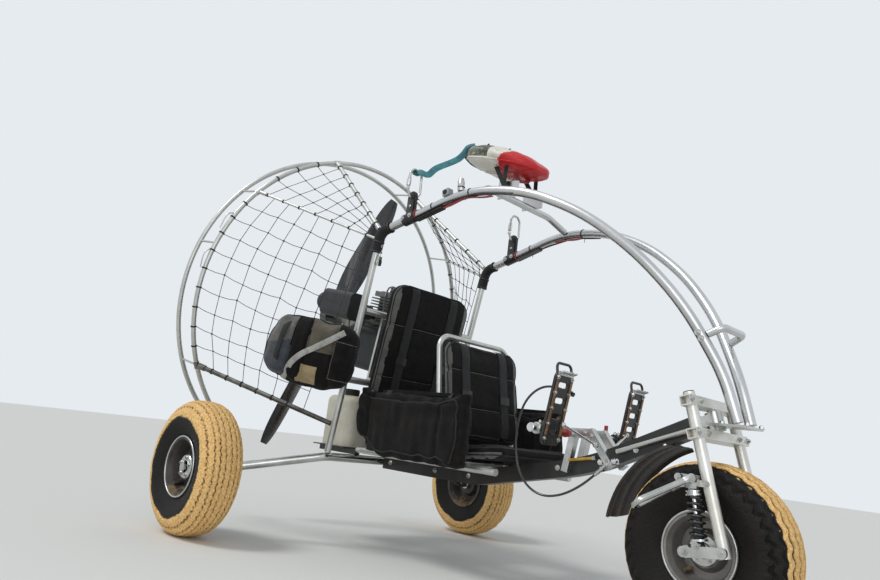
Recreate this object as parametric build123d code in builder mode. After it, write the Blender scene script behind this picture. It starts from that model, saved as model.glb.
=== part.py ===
from build123d import *
import math
import os

os.makedirs("parts", exist_ok=True)

# Two-seat engined trike for a soft wing, standing parked on its three wheels.
# Frame: X to the vehicle's left, nose towards -Y, Z up from the ground, millimetres.
# Points are given as (side, ahead, up): side is to the left, ahead is forward of the
# rear axle, up is above the ground.

# Wheels
wheelbase = 1455
rear_track = 1380
rear_tyre_d = 440
rear_tyre_w = 148
front_tyre_d = 445
front_tyre_w = 172
rim_d = 187
rim_lip = 7
bead_share = 0.36
hub_d = 84
hub_bore_r = 10.05
axle_pin_r = 10.0
wheel_gap = 0.3

# Fork and steering
rake = 16.3
steer_ahead = wheelbase
steer_up = 544
leg_side = 122
leg_d = 30
link_reach = 93
link_up = 236
link_t = 8
link_h = 26
link_tail = 15
clamp_w = 30
clamp_h = 26
clamp_wall = 3
clamp_half = 152
upper_clamp_up = 588
lower_clamp_up = 507
stem_r = 14.0
stem_bore_r = 14.05
head_tube_d = 46

# Main frame
arc_d = 30
keel_w = 45
keel_h = 50
axle_tube_d = 30
joint_side = 286
joint_ahead = 163
joint_up = 300
leg_tube_d = 26
mast_side = 293
mast_ahead = 306
mast_up = 1120

# Power unit, square to a plane that leans forward with the rear legs
lean = 9.5
hoop_r = 674
hoop_d = 18
hoop_gap = 138
hoop_ahead = -394
hoop_up = 896
hoop_open = 145
prop_r = 622
prop_hub_r = 52
shaft_r = 12.0
shaft_bore_r = 12.05

# Net
net_cord = 3

front_end = wheelbase + front_tyre_d / 2


def rear_reach():
    """How far behind the axle the rear hoop's lowest drawn point reaches."""
    low = math.cos(math.radians(hoop_open)) * hoop_r
    return -hoop_ahead - low * math.sin(math.radians(lean))


middle = (front_end - rear_reach() - hoop_d / 2 * math.cos(math.radians(lean))) / 2


def spot(side, ahead, up):
    """A point of the model from its place against the rear axle and the ground."""
    return Vector(side, middle - ahead, up)


def round_bar(start, end, diameter, bore=0, mode=Mode.ADD):
    """A straight round bar or tube between two points."""
    run = end - start
    with BuildSketch(Plane(origin=start, z_dir=run)) as section:
        Circle(diameter / 2)
        if bore:
            Circle(bore / 2, mode=Mode.SUBTRACT)
    extrude(section.sketch, amount=run.length, mode=mode)


def box_bar(start, end, width, height, wall=0, across=Vector(1, 0, 0), mode=Mode.ADD):
    """A straight square bar or tube, its width along the given direction."""
    run = end - start
    with BuildSketch(Plane(origin=start, x_dir=across, z_dir=run)) as section:
        Rectangle(width, height)
        if wall:
            Rectangle(width - 2 * wall, height - 2 * wall, mode=Mode.SUBTRACT)
    extrude(section.sketch, amount=run.length, mode=mode)


def bent_bar(points, bends, diameter, mode=Mode.ADD):
    """A round bar bent along straight runs joined by tangent arcs."""
    with BuildLine() as path:
        FilletPolyline(*points, radius=bends)
    with BuildSketch(path.line ^ 0) as section:
        Circle(diameter / 2)
    sweep(section.sketch, path=path.line, mode=mode)


def easy_bends(points, share=0.45):
    """The largest smooth bend that each corner of a route allows."""
    radii = []
    for before, corner, after in zip(points, points[1:], points[2:]):
        turn = math.radians((corner - before).get_angle(after - corner))
        run = min((corner - before).length, (after - corner).length)
        radii.append(share * run / math.tan(turn / 2))
    return radii


def seat_trim(run, axis, axis_r, bar_r):
    """How far before a round tube's axis a square-cut round bar ends to just clear the tube."""
    turn = math.radians(run.get_angle(axis))
    return (axis_r + wheel_gap + bar_r * abs(math.cos(turn))) / math.sin(turn)


steer_axis = Vector(0, math.sin(math.radians(rake)), math.cos(math.radians(rake)))
steer_slope = math.tan(math.radians(rake))


def on_steering(side, up, forward=0):
    """A point in the raked plane of the steering axis, at a height."""
    return spot(side, steer_ahead - (up - steer_up) * steer_slope + forward, up)


lean_cos = math.cos(math.radians(lean))
lean_sin = math.sin(math.radians(lean))


def in_unit(side, back, high):
    """A point of the power unit: back along the thrust axis, high across it."""
    ahead = hoop_ahead - back * lean_cos + high * lean_sin
    return spot(side, ahead, hoop_up + back * lean_sin + high * lean_cos)


thrust = (in_unit(0, 1, 0) - in_unit(0, 0, 0)).normalized()
unit_up = (in_unit(0, 0, 1) - in_unit(0, 0, 0)).normalized()


def unit_plane(back, side=0, high=0):
    """A plane across the thrust axis, facing back, its Y running up."""
    return Plane(origin=in_unit(side, back, high), x_dir=unit_up.cross(thrust), z_dir=thrust)


# Tyres: a rounded balloon section turned about the axle
def tyre_section(plane, outer_d, width, bead_d):
    """Half section of a tyre in a plane whose X is the axle and Y the radius."""
    outer = outer_d / 2
    bead = bead_d / 2
    half = width / 2
    seat_half = bead_share * width - wheel_gap
    shoulder = outer - 0.035 * outer_d
    lip = bead + rim_lip
    with BuildSketch(plane) as section:
        with BuildLine():
            crown = ThreePointArc((-bead_share * width, shoulder), (0, outer),
                                  (bead_share * width, shoulder))
            right = ThreePointArc(crown @ 1, (half, (shoulder + lip) / 2), (seat_half, lip))
            foot = Polyline(right @ 1, (seat_half, bead), (-seat_half, bead), (-seat_half, lip))
            ThreePointArc(foot @ 1, (-half, (shoulder + lip) / 2), crown @ 0)
        make_face()
    return section.sketch


wheels = [
    # name, side, ahead, tyre diameter, tyre width
    ("rear_right", -rear_track / 2, 0, rear_tyre_d, rear_tyre_w),
    ("rear_left", rear_track / 2, 0, rear_tyre_d, rear_tyre_w),
    ("front", 0, wheelbase, front_tyre_d, front_tyre_w),
]

for name, side, ahead, tyre_d, tyre_w in wheels:
    centre = spot(side, ahead, tyre_d / 2)
    across = Plane(origin=centre, x_dir=(1, 0, 0), z_dir=(0, -1, 0))
    axle_line = Axis(centre, (1, 0, 0))
    seat = rim_d / 2
    half = bead_share * tyre_w
    with BuildPart() as tyre:
        add(revolve(tyre_section(across, tyre_d, tyre_w, rim_d + 2 * wheel_gap), axis=axle_line,
                    mode=Mode.PRIVATE))
    tyre.part.label = f"{name}_tyre"
    export_step(tyre.part, f"parts/{name}_tyre.step")

    with BuildPart() as rim:
        with BuildSketch(across) as section:
            with BuildLine():
                Polyline((-half - 3, seat + rim_lip), (-half - 3, seat - 6), (-half + 14, seat - 14),
                         (-8, seat - 22), (-8, hub_d / 2 + 12), (-30, hub_d / 2), (-30, hub_bore_r),
                         (30, hub_bore_r), (30, hub_d / 2), (8, hub_d / 2 + 12), (8, seat - 22),
                         (half - 14, seat - 14), (half + 3, seat - 6), (half + 3, seat + rim_lip),
                         (half, seat + rim_lip), (half, seat), (-half, seat), (-half, seat + rim_lip),
                         close=True)
            make_face()
        revolve(axis=axle_line)
    rim.part.label = f"{name}_rim"
    export_step(rim.part, f"parts/{name}_rim.step")

# Rear axle: one tube, level across the frame, then swept back and down to each stub
hub_inner = rear_track / 2 - 30 - 2
with BuildPart() as rear_axle:
    route = [
        spot(-hub_inner + 14, 0, rear_tyre_d / 2),
        spot(-hub_inner + 52, 0, rear_tyre_d / 2),
        spot(-joint_side, joint_ahead, joint_up),
        spot(joint_side, joint_ahead, joint_up),
        spot(hub_inner - 52, 0, rear_tyre_d / 2),
        spot(hub_inner - 14, 0, rear_tyre_d / 2),
    ]
    bent_bar(route, [60, 90, 90, 60], axle_tube_d)
    for hand in (-1, 1):
        start = spot(hand * (hub_inner - 14), 0, rear_tyre_d / 2)
        round_bar(start, spot(hand * hub_inner, 0, rear_tyre_d / 2), 40)
        face = spot(hand * (rear_track / 2 + 32), 0, rear_tyre_d / 2)
        round_bar(start, face, 2 * axle_pin_r)
        with BuildSketch(Plane(origin=face, z_dir=Vector(hand, 0, 0))) as nut:
            RegularPolygon(16, 6)
        extrude(nut.sketch, amount=14)
rear_axle.part.label = "rear_axle"
export_step(rear_axle.part, "parts/rear_axle.step")

# Keel: box beam from the steering head down and back to the level axle tube
keel_front = (wheelbase - 37, 538)
keel_knee = (wheelbase - 370, 388)
keel_heel = (640, joint_up)
keel_bends = [1000, 400]
keel_route = [
    spot(0, *keel_front),
    spot(0, *keel_knee),
    spot(0, *keel_heel),
    spot(0, joint_ahead + axle_tube_d / 2, joint_up),
]
with BuildPart() as keel:
    with BuildLine() as path:
        FilletPolyline(*keel_route, radius=keel_bends)
    with BuildSketch(Plane(origin=keel_route[0], x_dir=(1, 0, 0),
                           z_dir=keel_route[1] - keel_route[0])) as section:
        Rectangle(keel_w, keel_h)
    sweep(section.sketch, path=path.line)
keel.part.label = "keel"
export_step(keel.part, "parts/keel.step")

# Steering head: tube on the steering axis, lug to the keel and plate under the arcs
arc_route = [
    # side, behind the front axle, up
    (41, -76, 547),
    (50, -37, 668),
    (98, 57, 846),
    (150, 183, 993),
    (198, 343, 1117),
    (238, 537, 1202),
    (266, 758, 1226),
]
plate_t = 6
plate_w = 116
plate_past = 26
lug_h = 30
lug_reach = 36
stem_clear = 17
arc_foot = arc_route[0]
arc_rise = math.atan2(arc_route[1][1] - arc_foot[1], arc_route[1][2] - arc_foot[2])
foot_drop = arc_d / 2 * math.sin(arc_rise)
arc_up = arc_foot[2]
plate_up = arc_up - foot_drop - wheel_gap - plate_t / 2
keel_run = (keel_route[1] - keel_route[0]).normalized()
head_low = on_steering(0, lower_clamp_up + stem_clear)
head_high = on_steering(0, upper_clamp_up - stem_clear)
with BuildPart() as steering_head:
    round_bar(head_low, head_high, head_tube_d)
    with BuildSketch(Plane(origin=keel_route[0], x_dir=(1, 0, 0), z_dir=-keel_run)) as lug:
        Rectangle(keel_w, lug_h)
    extrude(lug.sketch, amount=lug_reach)
    box_bar(spot(0, steer_ahead, plate_up), spot(0, wheelbase - arc_foot[1] + plate_past, plate_up),
            plate_w, plate_t)
    round_bar(head_low - steer_axis * 40, head_high + steer_axis * 40, 2 * stem_bore_r,
              mode=Mode.SUBTRACT)
steering_head.part.label = "steering_head"
export_step(steering_head.part, "parts/steering_head.step")

# Braces beside the keel, from its middle run up to the steering head
brace_d = 14
brace_rear = (wheelbase - 271, 440)
brace_front = (wheelbase - 25, 530)
brace_side = keel_w / 2 + brace_d / 2 + wheel_gap
with BuildPart() as head_braces:
    for hand in (-1, 1):
        round_bar(spot(hand * brace_side, *brace_rear), spot(hand * brace_side, *brace_front), brace_d)
head_braces.part.label = "head_braces"
export_step(head_braces.part, "parts/head_braces.step")

# Fork: two long legs through two box clamps, with the stem between them
leg_low = 222
shock_bracket_up = 388.7
with BuildPart() as fork:
    for hand in (-1, 1):
        round_bar(on_steering(hand * leg_side, leg_low), on_steering(hand * leg_side, upper_clamp_up + 22),
                  leg_d)
        bracket = on_steering(hand * leg_side, shock_bracket_up)
        box_bar(bracket, bracket + Vector(0, 62, -4), 22, 16)
    for up in (upper_clamp_up, lower_clamp_up):
        across = Vector(0, math.cos(math.radians(rake)), -math.sin(math.radians(rake)))
        box_bar(on_steering(-clamp_half, up), on_steering(clamp_half, up), clamp_w, clamp_h,
                clamp_wall, across=across)
    round_bar(on_steering(0, lower_clamp_up - 12), on_steering(0, upper_clamp_up + 12), 2 * stem_r)
fork.part.label = "fork"
export_step(fork.part, "parts/fork.step")

# Front suspension links outside the legs, the axle and its spacers
link_side = leg_side + leg_d / 2 + wheel_gap + link_t / 2
axle_up = front_tyre_d / 2
with BuildPart() as suspension_links:
    along = Vector(0, -link_reach, link_up - axle_up)
    for hand in (-1, 1):
        start = spot(hand * (link_side - link_t / 2), wheelbase, axle_up)
        rear = start - along.normalized() * (link_tail - link_h / 2)
        front = start + along
        with BuildSketch(Plane(origin=(rear + front) / 2, x_dir=along, z_dir=(hand, 0, 0))) as plate:
            SlotCenterToCenter((front - rear).length, link_h)
        extrude(plate.sketch, amount=link_t)
        round_bar(start - Vector(hand, 0, 0), start + Vector(hand * (link_t + 1), 0, 0),
                  2 * axle_pin_r + 2 * wheel_gap, mode=Mode.SUBTRACT)
suspension_links.part.label = "suspension_links"
export_step(suspension_links.part, "parts/suspension_links.step")

with BuildPart() as front_axle:
    ends = link_side + link_t / 2 + 12
    round_bar(spot(-ends, wheelbase, axle_up), spot(ends, wheelbase, axle_up), 2 * axle_pin_r)
    for hand in (-1, 1):
        round_bar(spot(hand * 32, wheelbase, axle_up),
                  spot(hand * (link_side - link_t / 2 - wheel_gap), wheelbase, axle_up), 30)
front_axle.part.label = "front_axle"
export_step(front_axle.part, "parts/front_axle.step")

# Spring dampers: a ribbed spring sleeve over a thin damper rod with an eye at each end
shock_d = 44
spring_turns = 6
shock_foot = (wheelbase + 30, 241)
shock_top = (wheelbase + 6, 376)
with BuildPart() as shocks:
    for hand in (-1, 1):
        top = spot(hand * leg_side, *shock_top)
        foot = spot(hand * leg_side, *shock_foot)
        run = top - foot
        section_plane = Plane(origin=foot, x_dir=(1, 0, 0), z_dir=Vector(1, 0, 0).cross(run))
        turn_h = (run.length - 34) / spring_turns
        outline = [(0, -9), (11, -9), (11, 8), (shock_d / 2, 8)]
        for turn in range(spring_turns):
            base = 12 + turn * turn_h
            outline += [(shock_d / 2, base), (shock_d / 2, base + turn_h * 0.5),
                        (shock_d / 2 - 7, base + turn_h * 0.6), (shock_d / 2 - 7, base + turn_h * 0.9)]
        outline += [(shock_d / 2, run.length - 20), (shock_d / 2, run.length - 14),
                    (11, run.length - 14), (11, run.length), (0, run.length)]
        with BuildSketch(section_plane) as section:
            with BuildLine():
                Polyline(*outline, close=True)
            make_face()
        revolve(axis=Axis(foot, run))
        round_bar(foot, spot(hand * (link_side - link_t / 2 - wheel_gap), *shock_foot), 12)
shocks.part.label = "shocks"
export_step(shocks.part, "parts/shocks.step")

# Foot loops beside the front wheel
loop_d = 16
loop_bend = 17
loop_outer, loop_inner = 262, 226
loop_seat_up = 390
loop_side = leg_side + 11 + loop_d / 2 + wheel_gap
with BuildPart() as foot_loops:
    for hand in (-1, 1):
        route = [
            spot(hand * loop_side, wheelbase + 15, 402),
            spot(hand * loop_outer, wheelbase - 71, 326),
            spot(hand * loop_inner, wheelbase - 93, 312),
            spot(hand * loop_side, wheelbase - 19, 382),
        ]
        bent_bar(route, loop_bend, loop_d)
        box_bar(spot(hand * loop_side, wheelbase - 27, loop_seat_up),
                spot(hand * loop_side, wheelbase + 27, loop_seat_up), loop_d, 2 * loop_d)
foot_loops.part.label = "foot_loops"
export_step(foot_loops.part, "parts/foot_loops.step")

# Mudguard: a curved sheet behind the front wheel
guard_r = 268
guard_w = 150
guard_t = 4
guard_low, guard_high = 8, 70
guard_bolt = 64
keel_up = Vector(1, 0, 0).cross(keel_run)
with BuildPart() as mudguard:
    with BuildSketch(Plane(origin=spot(-guard_w / 2, wheelbase, axle_up), x_dir=(0, 1, 0),
                           z_dir=(1, 0, 0))) as section:
        with BuildLine():
            inner = CenterArc((0, 0), guard_r, guard_low, guard_high - guard_low)
            outer = CenterArc((0, 0), guard_r + guard_t, guard_low, guard_high - guard_low)
            Line(inner @ 0, outer @ 0)
            Line(inner @ 1, outer @ 1)
        make_face()
    extrude(amount=guard_w)
    angle = math.radians(guard_bolt)
    stay = spot(0, wheelbase - (guard_r + 2) * math.cos(angle), axle_up + (guard_r + 2) * math.sin(angle))
    reach = (keel_route[0] - stay).dot(keel_up) - keel_h / 2 - wheel_gap
    round_bar(stay, stay + keel_up * reach, 26)
mudguard.part.label = "mudguard"
export_step(mudguard.part, "parts/mudguard.step")

# Arcs: bent tubes from the head plate over both seats to the rear corner
corner = (mast_side, mast_ahead, mast_up)
pad_reach = 46


def arc_points(hand):
    """The bend points of one arc, ending where its padded corner begins."""
    points = [spot(hand * side, wheelbase - behind, up) for side, behind, up in arc_route]
    last = spot(hand * corner[0], corner[1], corner[2])
    return points + [last - (last - points[-1]).normalized() * pad_reach]


def arc_path(hand):
    """The centre line of one arc."""
    route = arc_points(hand)
    with BuildLine() as path:
        FilletPolyline(*route, radius=easy_bends(route))
    return path.line


arc_lines = {hand: arc_path(hand) for hand in (-1, 1)}

for name, hand in (("arc_right", -1), ("arc_left", 1)):
    with BuildPart() as arc:
        with BuildSketch(arc_lines[hand] ^ 0):
            Circle(arc_d / 2)
        sweep(path=arc_lines[hand])
    arc.part.label = name
    export_step(arc.part, f"parts/{name}.step")

# Link tube between the arcs at the front: a U that stands off ahead of them
arc_link_share = 0.155
arc_link_d = 20
arc_link_bend = 20
arc_link_reach = 58
arc_link_in = 14
with BuildPart() as arc_link:
    route = []
    for hand in (-1, 1):
        at_arc = arc_lines[hand] @ arc_link_share
        arc_run = arc_lines[hand] % arc_link_share
        ahead_way = Vector(1, 0, 0).cross(arc_run).normalized()
        elbow = at_arc + ahead_way * arc_link_reach - Vector(hand * arc_link_in, 0, 0)
        run = elbow - at_arc
        end = at_arc + run.normalized() * seat_trim(run, arc_run, arc_d / 2, arc_link_d / 2)
        route += [end, elbow] if hand < 0 else [elbow, end]
    bent_bar(route, arc_link_bend, arc_link_d)
arc_link.part.label = "arc_link"
export_step(arc_link.part, "parts/arc_link.step")

# Padded corners and rear legs
leg_foot = (joint_side - 6, joint_ahead, joint_up + axle_tube_d / 2 + 2.1)
leg_d_rear = leg_tube_d - 2
pad_d = 38
pad_down = 78


def corner_at(hand):
    """The centre of a mast corner, where the arc meets the rear leg."""
    return spot(hand * corner[0], corner[1], corner[2])


def on_leg(hand, up):
    """The point of a rear leg's centre line at a height."""
    foot = spot(hand * leg_foot[0], leg_foot[1], leg_foot[2])
    return foot + (corner_at(hand) - foot) * ((up - leg_foot[2]) / (corner[2] - leg_foot[2]))


with BuildPart() as corner_pads:
    for hand in (-1, 1):
        top = corner_at(hand)
        down = (on_leg(hand, 0) - top).normalized()
        bent_bar([arc_points(hand)[-1], top, top + down * pad_down], 44, pad_d)
corner_pads.part.label = "corner_pads"
export_step(corner_pads.part, "parts/corner_pads.step")

with BuildPart() as rear_legs:
    for hand in (-1, 1):
        top = corner_at(hand)
        down = (on_leg(hand, 0) - top).normalized()
        round_bar(on_leg(hand, leg_foot[2]), top + down * pad_down, leg_d_rear)
rear_legs.part.label = "rear_legs"
export_step(rear_legs.part, "parts/rear_legs.step")

# Hang brackets: a clamp round the arc and a plate with two holes above it
hang_share = 0.73
hang_hole_r = 6.0
hang_t = 8
hang_rise = 78
ring_bar_r = 4.5
ring_points = [(-16, 0), (16, 0), (30, 24), (27, 88), (12, 104), (-12, 104), (-27, 88), (-30, 24)]


def hang_point(hand):
    """Where a hang bracket's centre lies on its arc, with the arc's direction to the rear."""
    fore, aft = arc_points(hand)[-2:]
    back = (aft - fore).normalized()
    return fore + (aft - fore) * hang_share, back


with BuildPart() as hang_brackets:
    for hand in (-1, 1):
        centre, back = hang_point(hand)
        top = centre + Vector(0, 0, hang_rise)
        round_bar(centre - back * 26, centre + back * 26, arc_d + 12)
        box_bar(centre + Vector(0, 0, 12), top, hang_t, 44)
        round_bar(top - Vector(hang_t / 2, 0, 0), top + Vector(hang_t / 2, 0, 0), 44)
        round_bar(centre - back * 30, centre + back * 30, arc_d + 2 * wheel_gap, mode=Mode.SUBTRACT)
        for hole in (top, top - Vector(0, 0, 34)):
            round_bar(hole - Vector(hang_t, 0, 0), hole + Vector(hang_t, 0, 0), 2 * hang_hole_r,
                      mode=Mode.SUBTRACT)
hang_brackets.part.label = "hang_brackets"
export_step(hang_brackets.part, "parts/hang_brackets.step")

with BuildPart() as carabiners:
    for hand in (-1, 1):
        centre, back = hang_point(hand)
        low = centre + Vector(0, 0, hang_rise - hang_hole_r + ring_bar_r + wheel_gap)
        route = [low + Vector(x, 0, z) for x, z in ring_points]
        with BuildLine() as path:
            FilletPolyline(*route, radius=9, close=True)
        with BuildSketch(path.line ^ 0) as section:
            Circle(ring_bar_r)
        sweep(section.sketch, path=path.line)
carabiners.part.label = "carabiners"
export_step(carabiners.part, "parts/carabiners.step")

# Hang rails: flat bars under the level stretch of each arc
rail_bar_t = 6
rail_bar_w = 24
rail_start, rail_end = 104, 36
with BuildPart() as hang_rails:
    for hand in (-1, 1):
        centre, back = hang_point(hand)
        fore = arc_points(hand)[-2]
        drop = (arc_d / 2 + rail_bar_t / 2 + wheel_gap) / abs(back.cross(Vector(1, 0, 0)).Z)
        below = Vector(0, 0, -drop)
        box_bar(fore + back * rail_start + below, centre - back * rail_end + below, rail_bar_w, rail_bar_t)
hang_rails.part.label = "hang_rails"
export_step(hang_rails.part, "parts/hang_rails.step")

# Container for the soft wing's reserve, a soft flattened shell sloping down to its nose
container_sections = [
    # distance from the tail, width, height, rise of the middle
    (0, 80, 40, 6),
    (50, 190, 88, 2),
    (160, 262, 138, 0),
    (290, 244, 116, -2),
    (380, 150, 74, -12),
    (408, 60, 28, -20),
]
container_slope = math.radians(14)
container_tail = spot(0, 430, 1456)
container_run = Vector(0, -math.cos(container_slope), -math.sin(container_slope))
with BuildPart() as container:
    for place, width, height, rise in container_sections:
        at = container_tail + container_run * place + Vector(0, 0, rise)
        with BuildSketch(Plane(origin=at, x_dir=(1, 0, 0), z_dir=container_run)):
            RectangleRounded(width, height, height * 0.42)
    loft()
container.part.label = "container"
export_step(container.part, "parts/container.step")

# Overhead cross tube with the cradle that carries the container
cross_d = 24
cross_share = 0.745
cross_bend_side = 170
cross_ahead = 700
cross_up = 1266
cradle_side = 70
cradle_t = 6
cradle_deep = 90
with BuildPart() as cross_tube:
    ends = []
    for hand in (-1, 1):
        at_arc = arc_lines[hand] @ cross_share
        run = spot(hand * cross_bend_side, cross_ahead, cross_up) - at_arc
        trim = seat_trim(run, arc_lines[hand] % cross_share, arc_d / 2, cross_d / 2)
        ends.append(at_arc + run.normalized() * trim)
    route = [
        ends[0],
        spot(-cross_bend_side, cross_ahead, cross_up),
        spot(cross_bend_side, cross_ahead, cross_up),
        ends[1],
    ]
    bent_bar(route, 52, cross_d)
    for hand in (-1, 1):
        low = spot(hand * cradle_side, cross_ahead, cross_up)
        box_bar(low, low + Vector(0, 0, 110), cradle_t, cradle_deep)
    add(Pos(0, 0, -wheel_gap) * container.part, mode=Mode.SUBTRACT)
cross_tube.part.label = "cross_tube"
export_step(cross_tube.part, "parts/cross_tube.step")

# Cage: two hoops, open below
tip = 90 - hoop_open
sweep_deg = 2 * hoop_open
with BuildPart() as cage_hoops:
    for back in (0, -hoop_gap):
        with BuildLine(unit_plane(back)) as path:
            CenterArc((0, 0), hoop_r, tip, sweep_deg)
        with BuildSketch(path.line ^ 0) as section:
            Circle(hoop_d / 2)
        sweep(section.sketch, path=path.line)
cage_hoops.part.label = "cage_hoops"
export_step(cage_hoops.part, "parts/cage_hoops.step")

# Cage ends: a U tube on each side that carries the lower ends of both hoops
end_reach = 40
end_bend = 36
with BuildPart() as cage_ends:
    for hand in (-1, 1):
        angle = math.radians(hoop_open)
        onward = Vector(hand * math.cos(angle), 0, 0) + unit_up * -math.sin(angle)
        rim_point = in_unit(hand * hoop_r * math.sin(angle), 0, hoop_r * math.cos(angle))
        inner_point = rim_point - thrust * hoop_gap
        route = [
            rim_point + onward * wheel_gap,
            rim_point + onward * end_reach,
            inner_point + onward * end_reach,
            inner_point + onward * wheel_gap,
        ]
        bent_bar(route, end_bend, hoop_d)
cage_ends.part.label = "cage_ends"
export_step(cage_ends.part, "parts/cage_ends.step")


def on_hoop(angle_deg, back=-hoop_gap, radius=hoop_r):
    """A point on a hoop, the angle from its top towards the vehicle's left."""
    angle = math.radians(angle_deg)
    return in_unit(radius * math.sin(angle), back, radius * math.cos(angle))


def between(start, end, share):
    """A point part of the way from start to end."""
    return start + (end - start) * share


def trimmed(start, end, start_gap, end_gap):
    """A run shortened at both ends."""
    run = (end - start).normalized()
    return start + run * start_gap, end - run * end_gap


# Cage struts: top, side and lower on each side, with spacers between the hoops
strut_angles = {"top": 19, "side": 53, "low": 117}
spacer_angle = 76
strut_d = 18
side_strut_d = 10
spacer_d = 8
side_strut_drop = 30
knee_up = 413
hoop_seat = hoop_d / 2 + wheel_gap
pad_seat = pad_d / 2 + 1.5


def strut_ends(kind, hand):
    """The two ends of a cage strut, at the front hoop and at the frame."""
    outer = on_hoop(hand * strut_angles[kind])
    if kind == "low":
        return trimmed(outer, on_leg(hand, knee_up), hoop_seat, leg_d_rear / 2 + 2)
    if kind == "side":
        return trimmed(outer, corner_at(hand) - unit_up * side_strut_drop, hoop_seat, pad_seat)
    return trimmed(outer, corner_at(hand), hoop_seat, pad_seat)


with BuildPart() as cage_struts:
    for hand in (-1, 1):
        round_bar(*strut_ends("top", hand), strut_d)
        round_bar(*strut_ends("side", hand), side_strut_d)
        for angle in (strut_angles["top"], strut_angles["side"], spacer_angle, strut_angles["low"]):
            spacer = trimmed(on_hoop(hand * angle), on_hoop(hand * angle, 0), hoop_seat, hoop_seat)
            round_bar(*spacer, spacer_d)
cage_struts.part.label = "cage_struts"
export_step(cage_struts.part, "parts/cage_struts.step")

with BuildPart() as low_struts:
    for hand in (-1, 1):
        round_bar(*strut_ends("low", hand), strut_d)
low_struts.part.label = "low_struts"
export_step(low_struts.part, "parts/low_struts.step")

# Side nets: crossing cords between hoop, struts and an upright edge cord
net_rows = 9
net_columns = 6
top_rows = 7
for name, hand in (("right", -1), ("left", 1)):
    edge_top = between(*strut_ends("side", hand), 0.93) - unit_up * 4
    edge_low = between(*strut_ends("low", hand), 0.8) + unit_up * (strut_d / 2 + wheel_gap)
    layer = thrust * (net_cord + wheel_gap)

    def net_point(row, column):
        """A crossing of the side net, row 0 at the side strut, column 0 at the hoop."""
        span = strut_angles["low"] - strut_angles["side"]
        outer = on_hoop(hand * (strut_angles["side"] + span * row / (net_rows + 1)),
                        radius=hoop_r - hoop_seat - 2)
        edge = between(edge_top, edge_low, row / (net_rows + 1))
        return between(outer, edge, column / (net_columns + 1))

    with BuildPart() as net:
        box_bar(*trimmed(edge_top, edge_low, 6, 1), 4, 4)
        for row in range(1, net_rows + 1):
            cord = trimmed(net_point(row, 0), net_point(row, net_columns + 1), 0, 3.4)
            box_bar(*cord, net_cord, net_cord, across=thrust)
        for column in range(1, net_columns + 1):
            stations = [net_point(row, column) - layer for row in (0.25, 3.5, 6.5, net_rows + 0.75)]
            for start, end in zip(stations, stations[1:]):
                box_bar(*trimmed(start, end, 1, 1), net_cord, net_cord)
        top_ends = strut_ends("top", hand)
        side_ends = strut_ends("side", hand)
        for row in range(top_rows):
            share = 0.1 + row * 0.8 / (top_rows - 1)
            cord = trimmed(between(*top_ends, share), between(*side_ends, share),
                           strut_d / 2 + 2.2, side_strut_d / 2 + 2.2)
            box_bar(*cord, net_cord, net_cord, across=thrust)
        for step in (1, 2, 3):
            angle = strut_angles["top"] + (strut_angles["side"] - strut_angles["top"]) * step / 4
            inner = between(between(*top_ends, 0.92), between(*side_ends, 0.92), step / 4)
            start, end = trimmed(on_hoop(hand * angle), inner, hoop_seat + 2, 0)
            lift = unit_up * (net_cord + 2 * wheel_gap)
            box_bar(start + lift, end + lift, net_cord, net_cord)
    net.part.label = f"net_{name}"
    export_step(net.part, f"parts/net_{name}.step")

# Engine carrier: two cross tubes between the rear legs, bearers and upright plates behind them
mount_ups = (832, 580)
mount_d = 24
bearer_side = 92
bearer_w = 24
bearer_back = 104
plate_deep = 10


def leg_frame(up):
    """The back and high values of the rear legs' line at a height."""
    offset = on_leg(1, up) - in_unit(0, 0, 0)
    return offset.dot(thrust), offset.dot(unit_up)


carrier_face = leg_frame(mount_ups[0])[0] + bearer_back
with BuildPart() as engine_carrier:
    for up in mount_ups:
        seat = leg_d_rear / 2 + wheel_gap
        round_bar(*trimmed(on_leg(-1, up), on_leg(1, up), seat, seat), mount_d)
    for side in (-bearer_side, bearer_side):
        for up in mount_ups:
            back, high = leg_frame(up)
            box_bar(in_unit(side, back + 6, high), in_unit(side, carrier_face, high), bearer_w, bearer_w)
        highs = [leg_frame(up)[1] for up in mount_ups]
        box_bar(in_unit(side, carrier_face, highs[1] - bearer_w / 2),
                in_unit(side, carrier_face, highs[0] + bearer_w / 2), bearer_w, plate_deep)
engine_carrier.part.label = "engine_carrier"
export_step(engine_carrier.part, "parts/engine_carrier.step")

# Engine: crankcase with its recoil starter, finned cylinder, reduction housing with the shaft
crank_high = -95
case_front = carrier_face + plate_deep / 2 + wheel_gap
case_back = -330
case_w = 178
case_h = 172
with BuildPart() as crankcase:
    with BuildSketch(unit_plane(case_front, high=crank_high)):
        RectangleRounded(case_w, case_h, 34)
    extrude(amount=case_back - case_front)
    with BuildSketch(unit_plane(case_back - 60, high=crank_high + case_h / 2 - 2)):
        RectangleRounded(124, 30, 10)
    extrude(amount=-100)
    with BuildSketch(unit_plane(case_front, high=crank_high)):
        Circle(66)
    extrude(amount=-44)
crankcase.part.label = "crankcase"
export_step(crankcase.part, "parts/crankcase.step")

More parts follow.
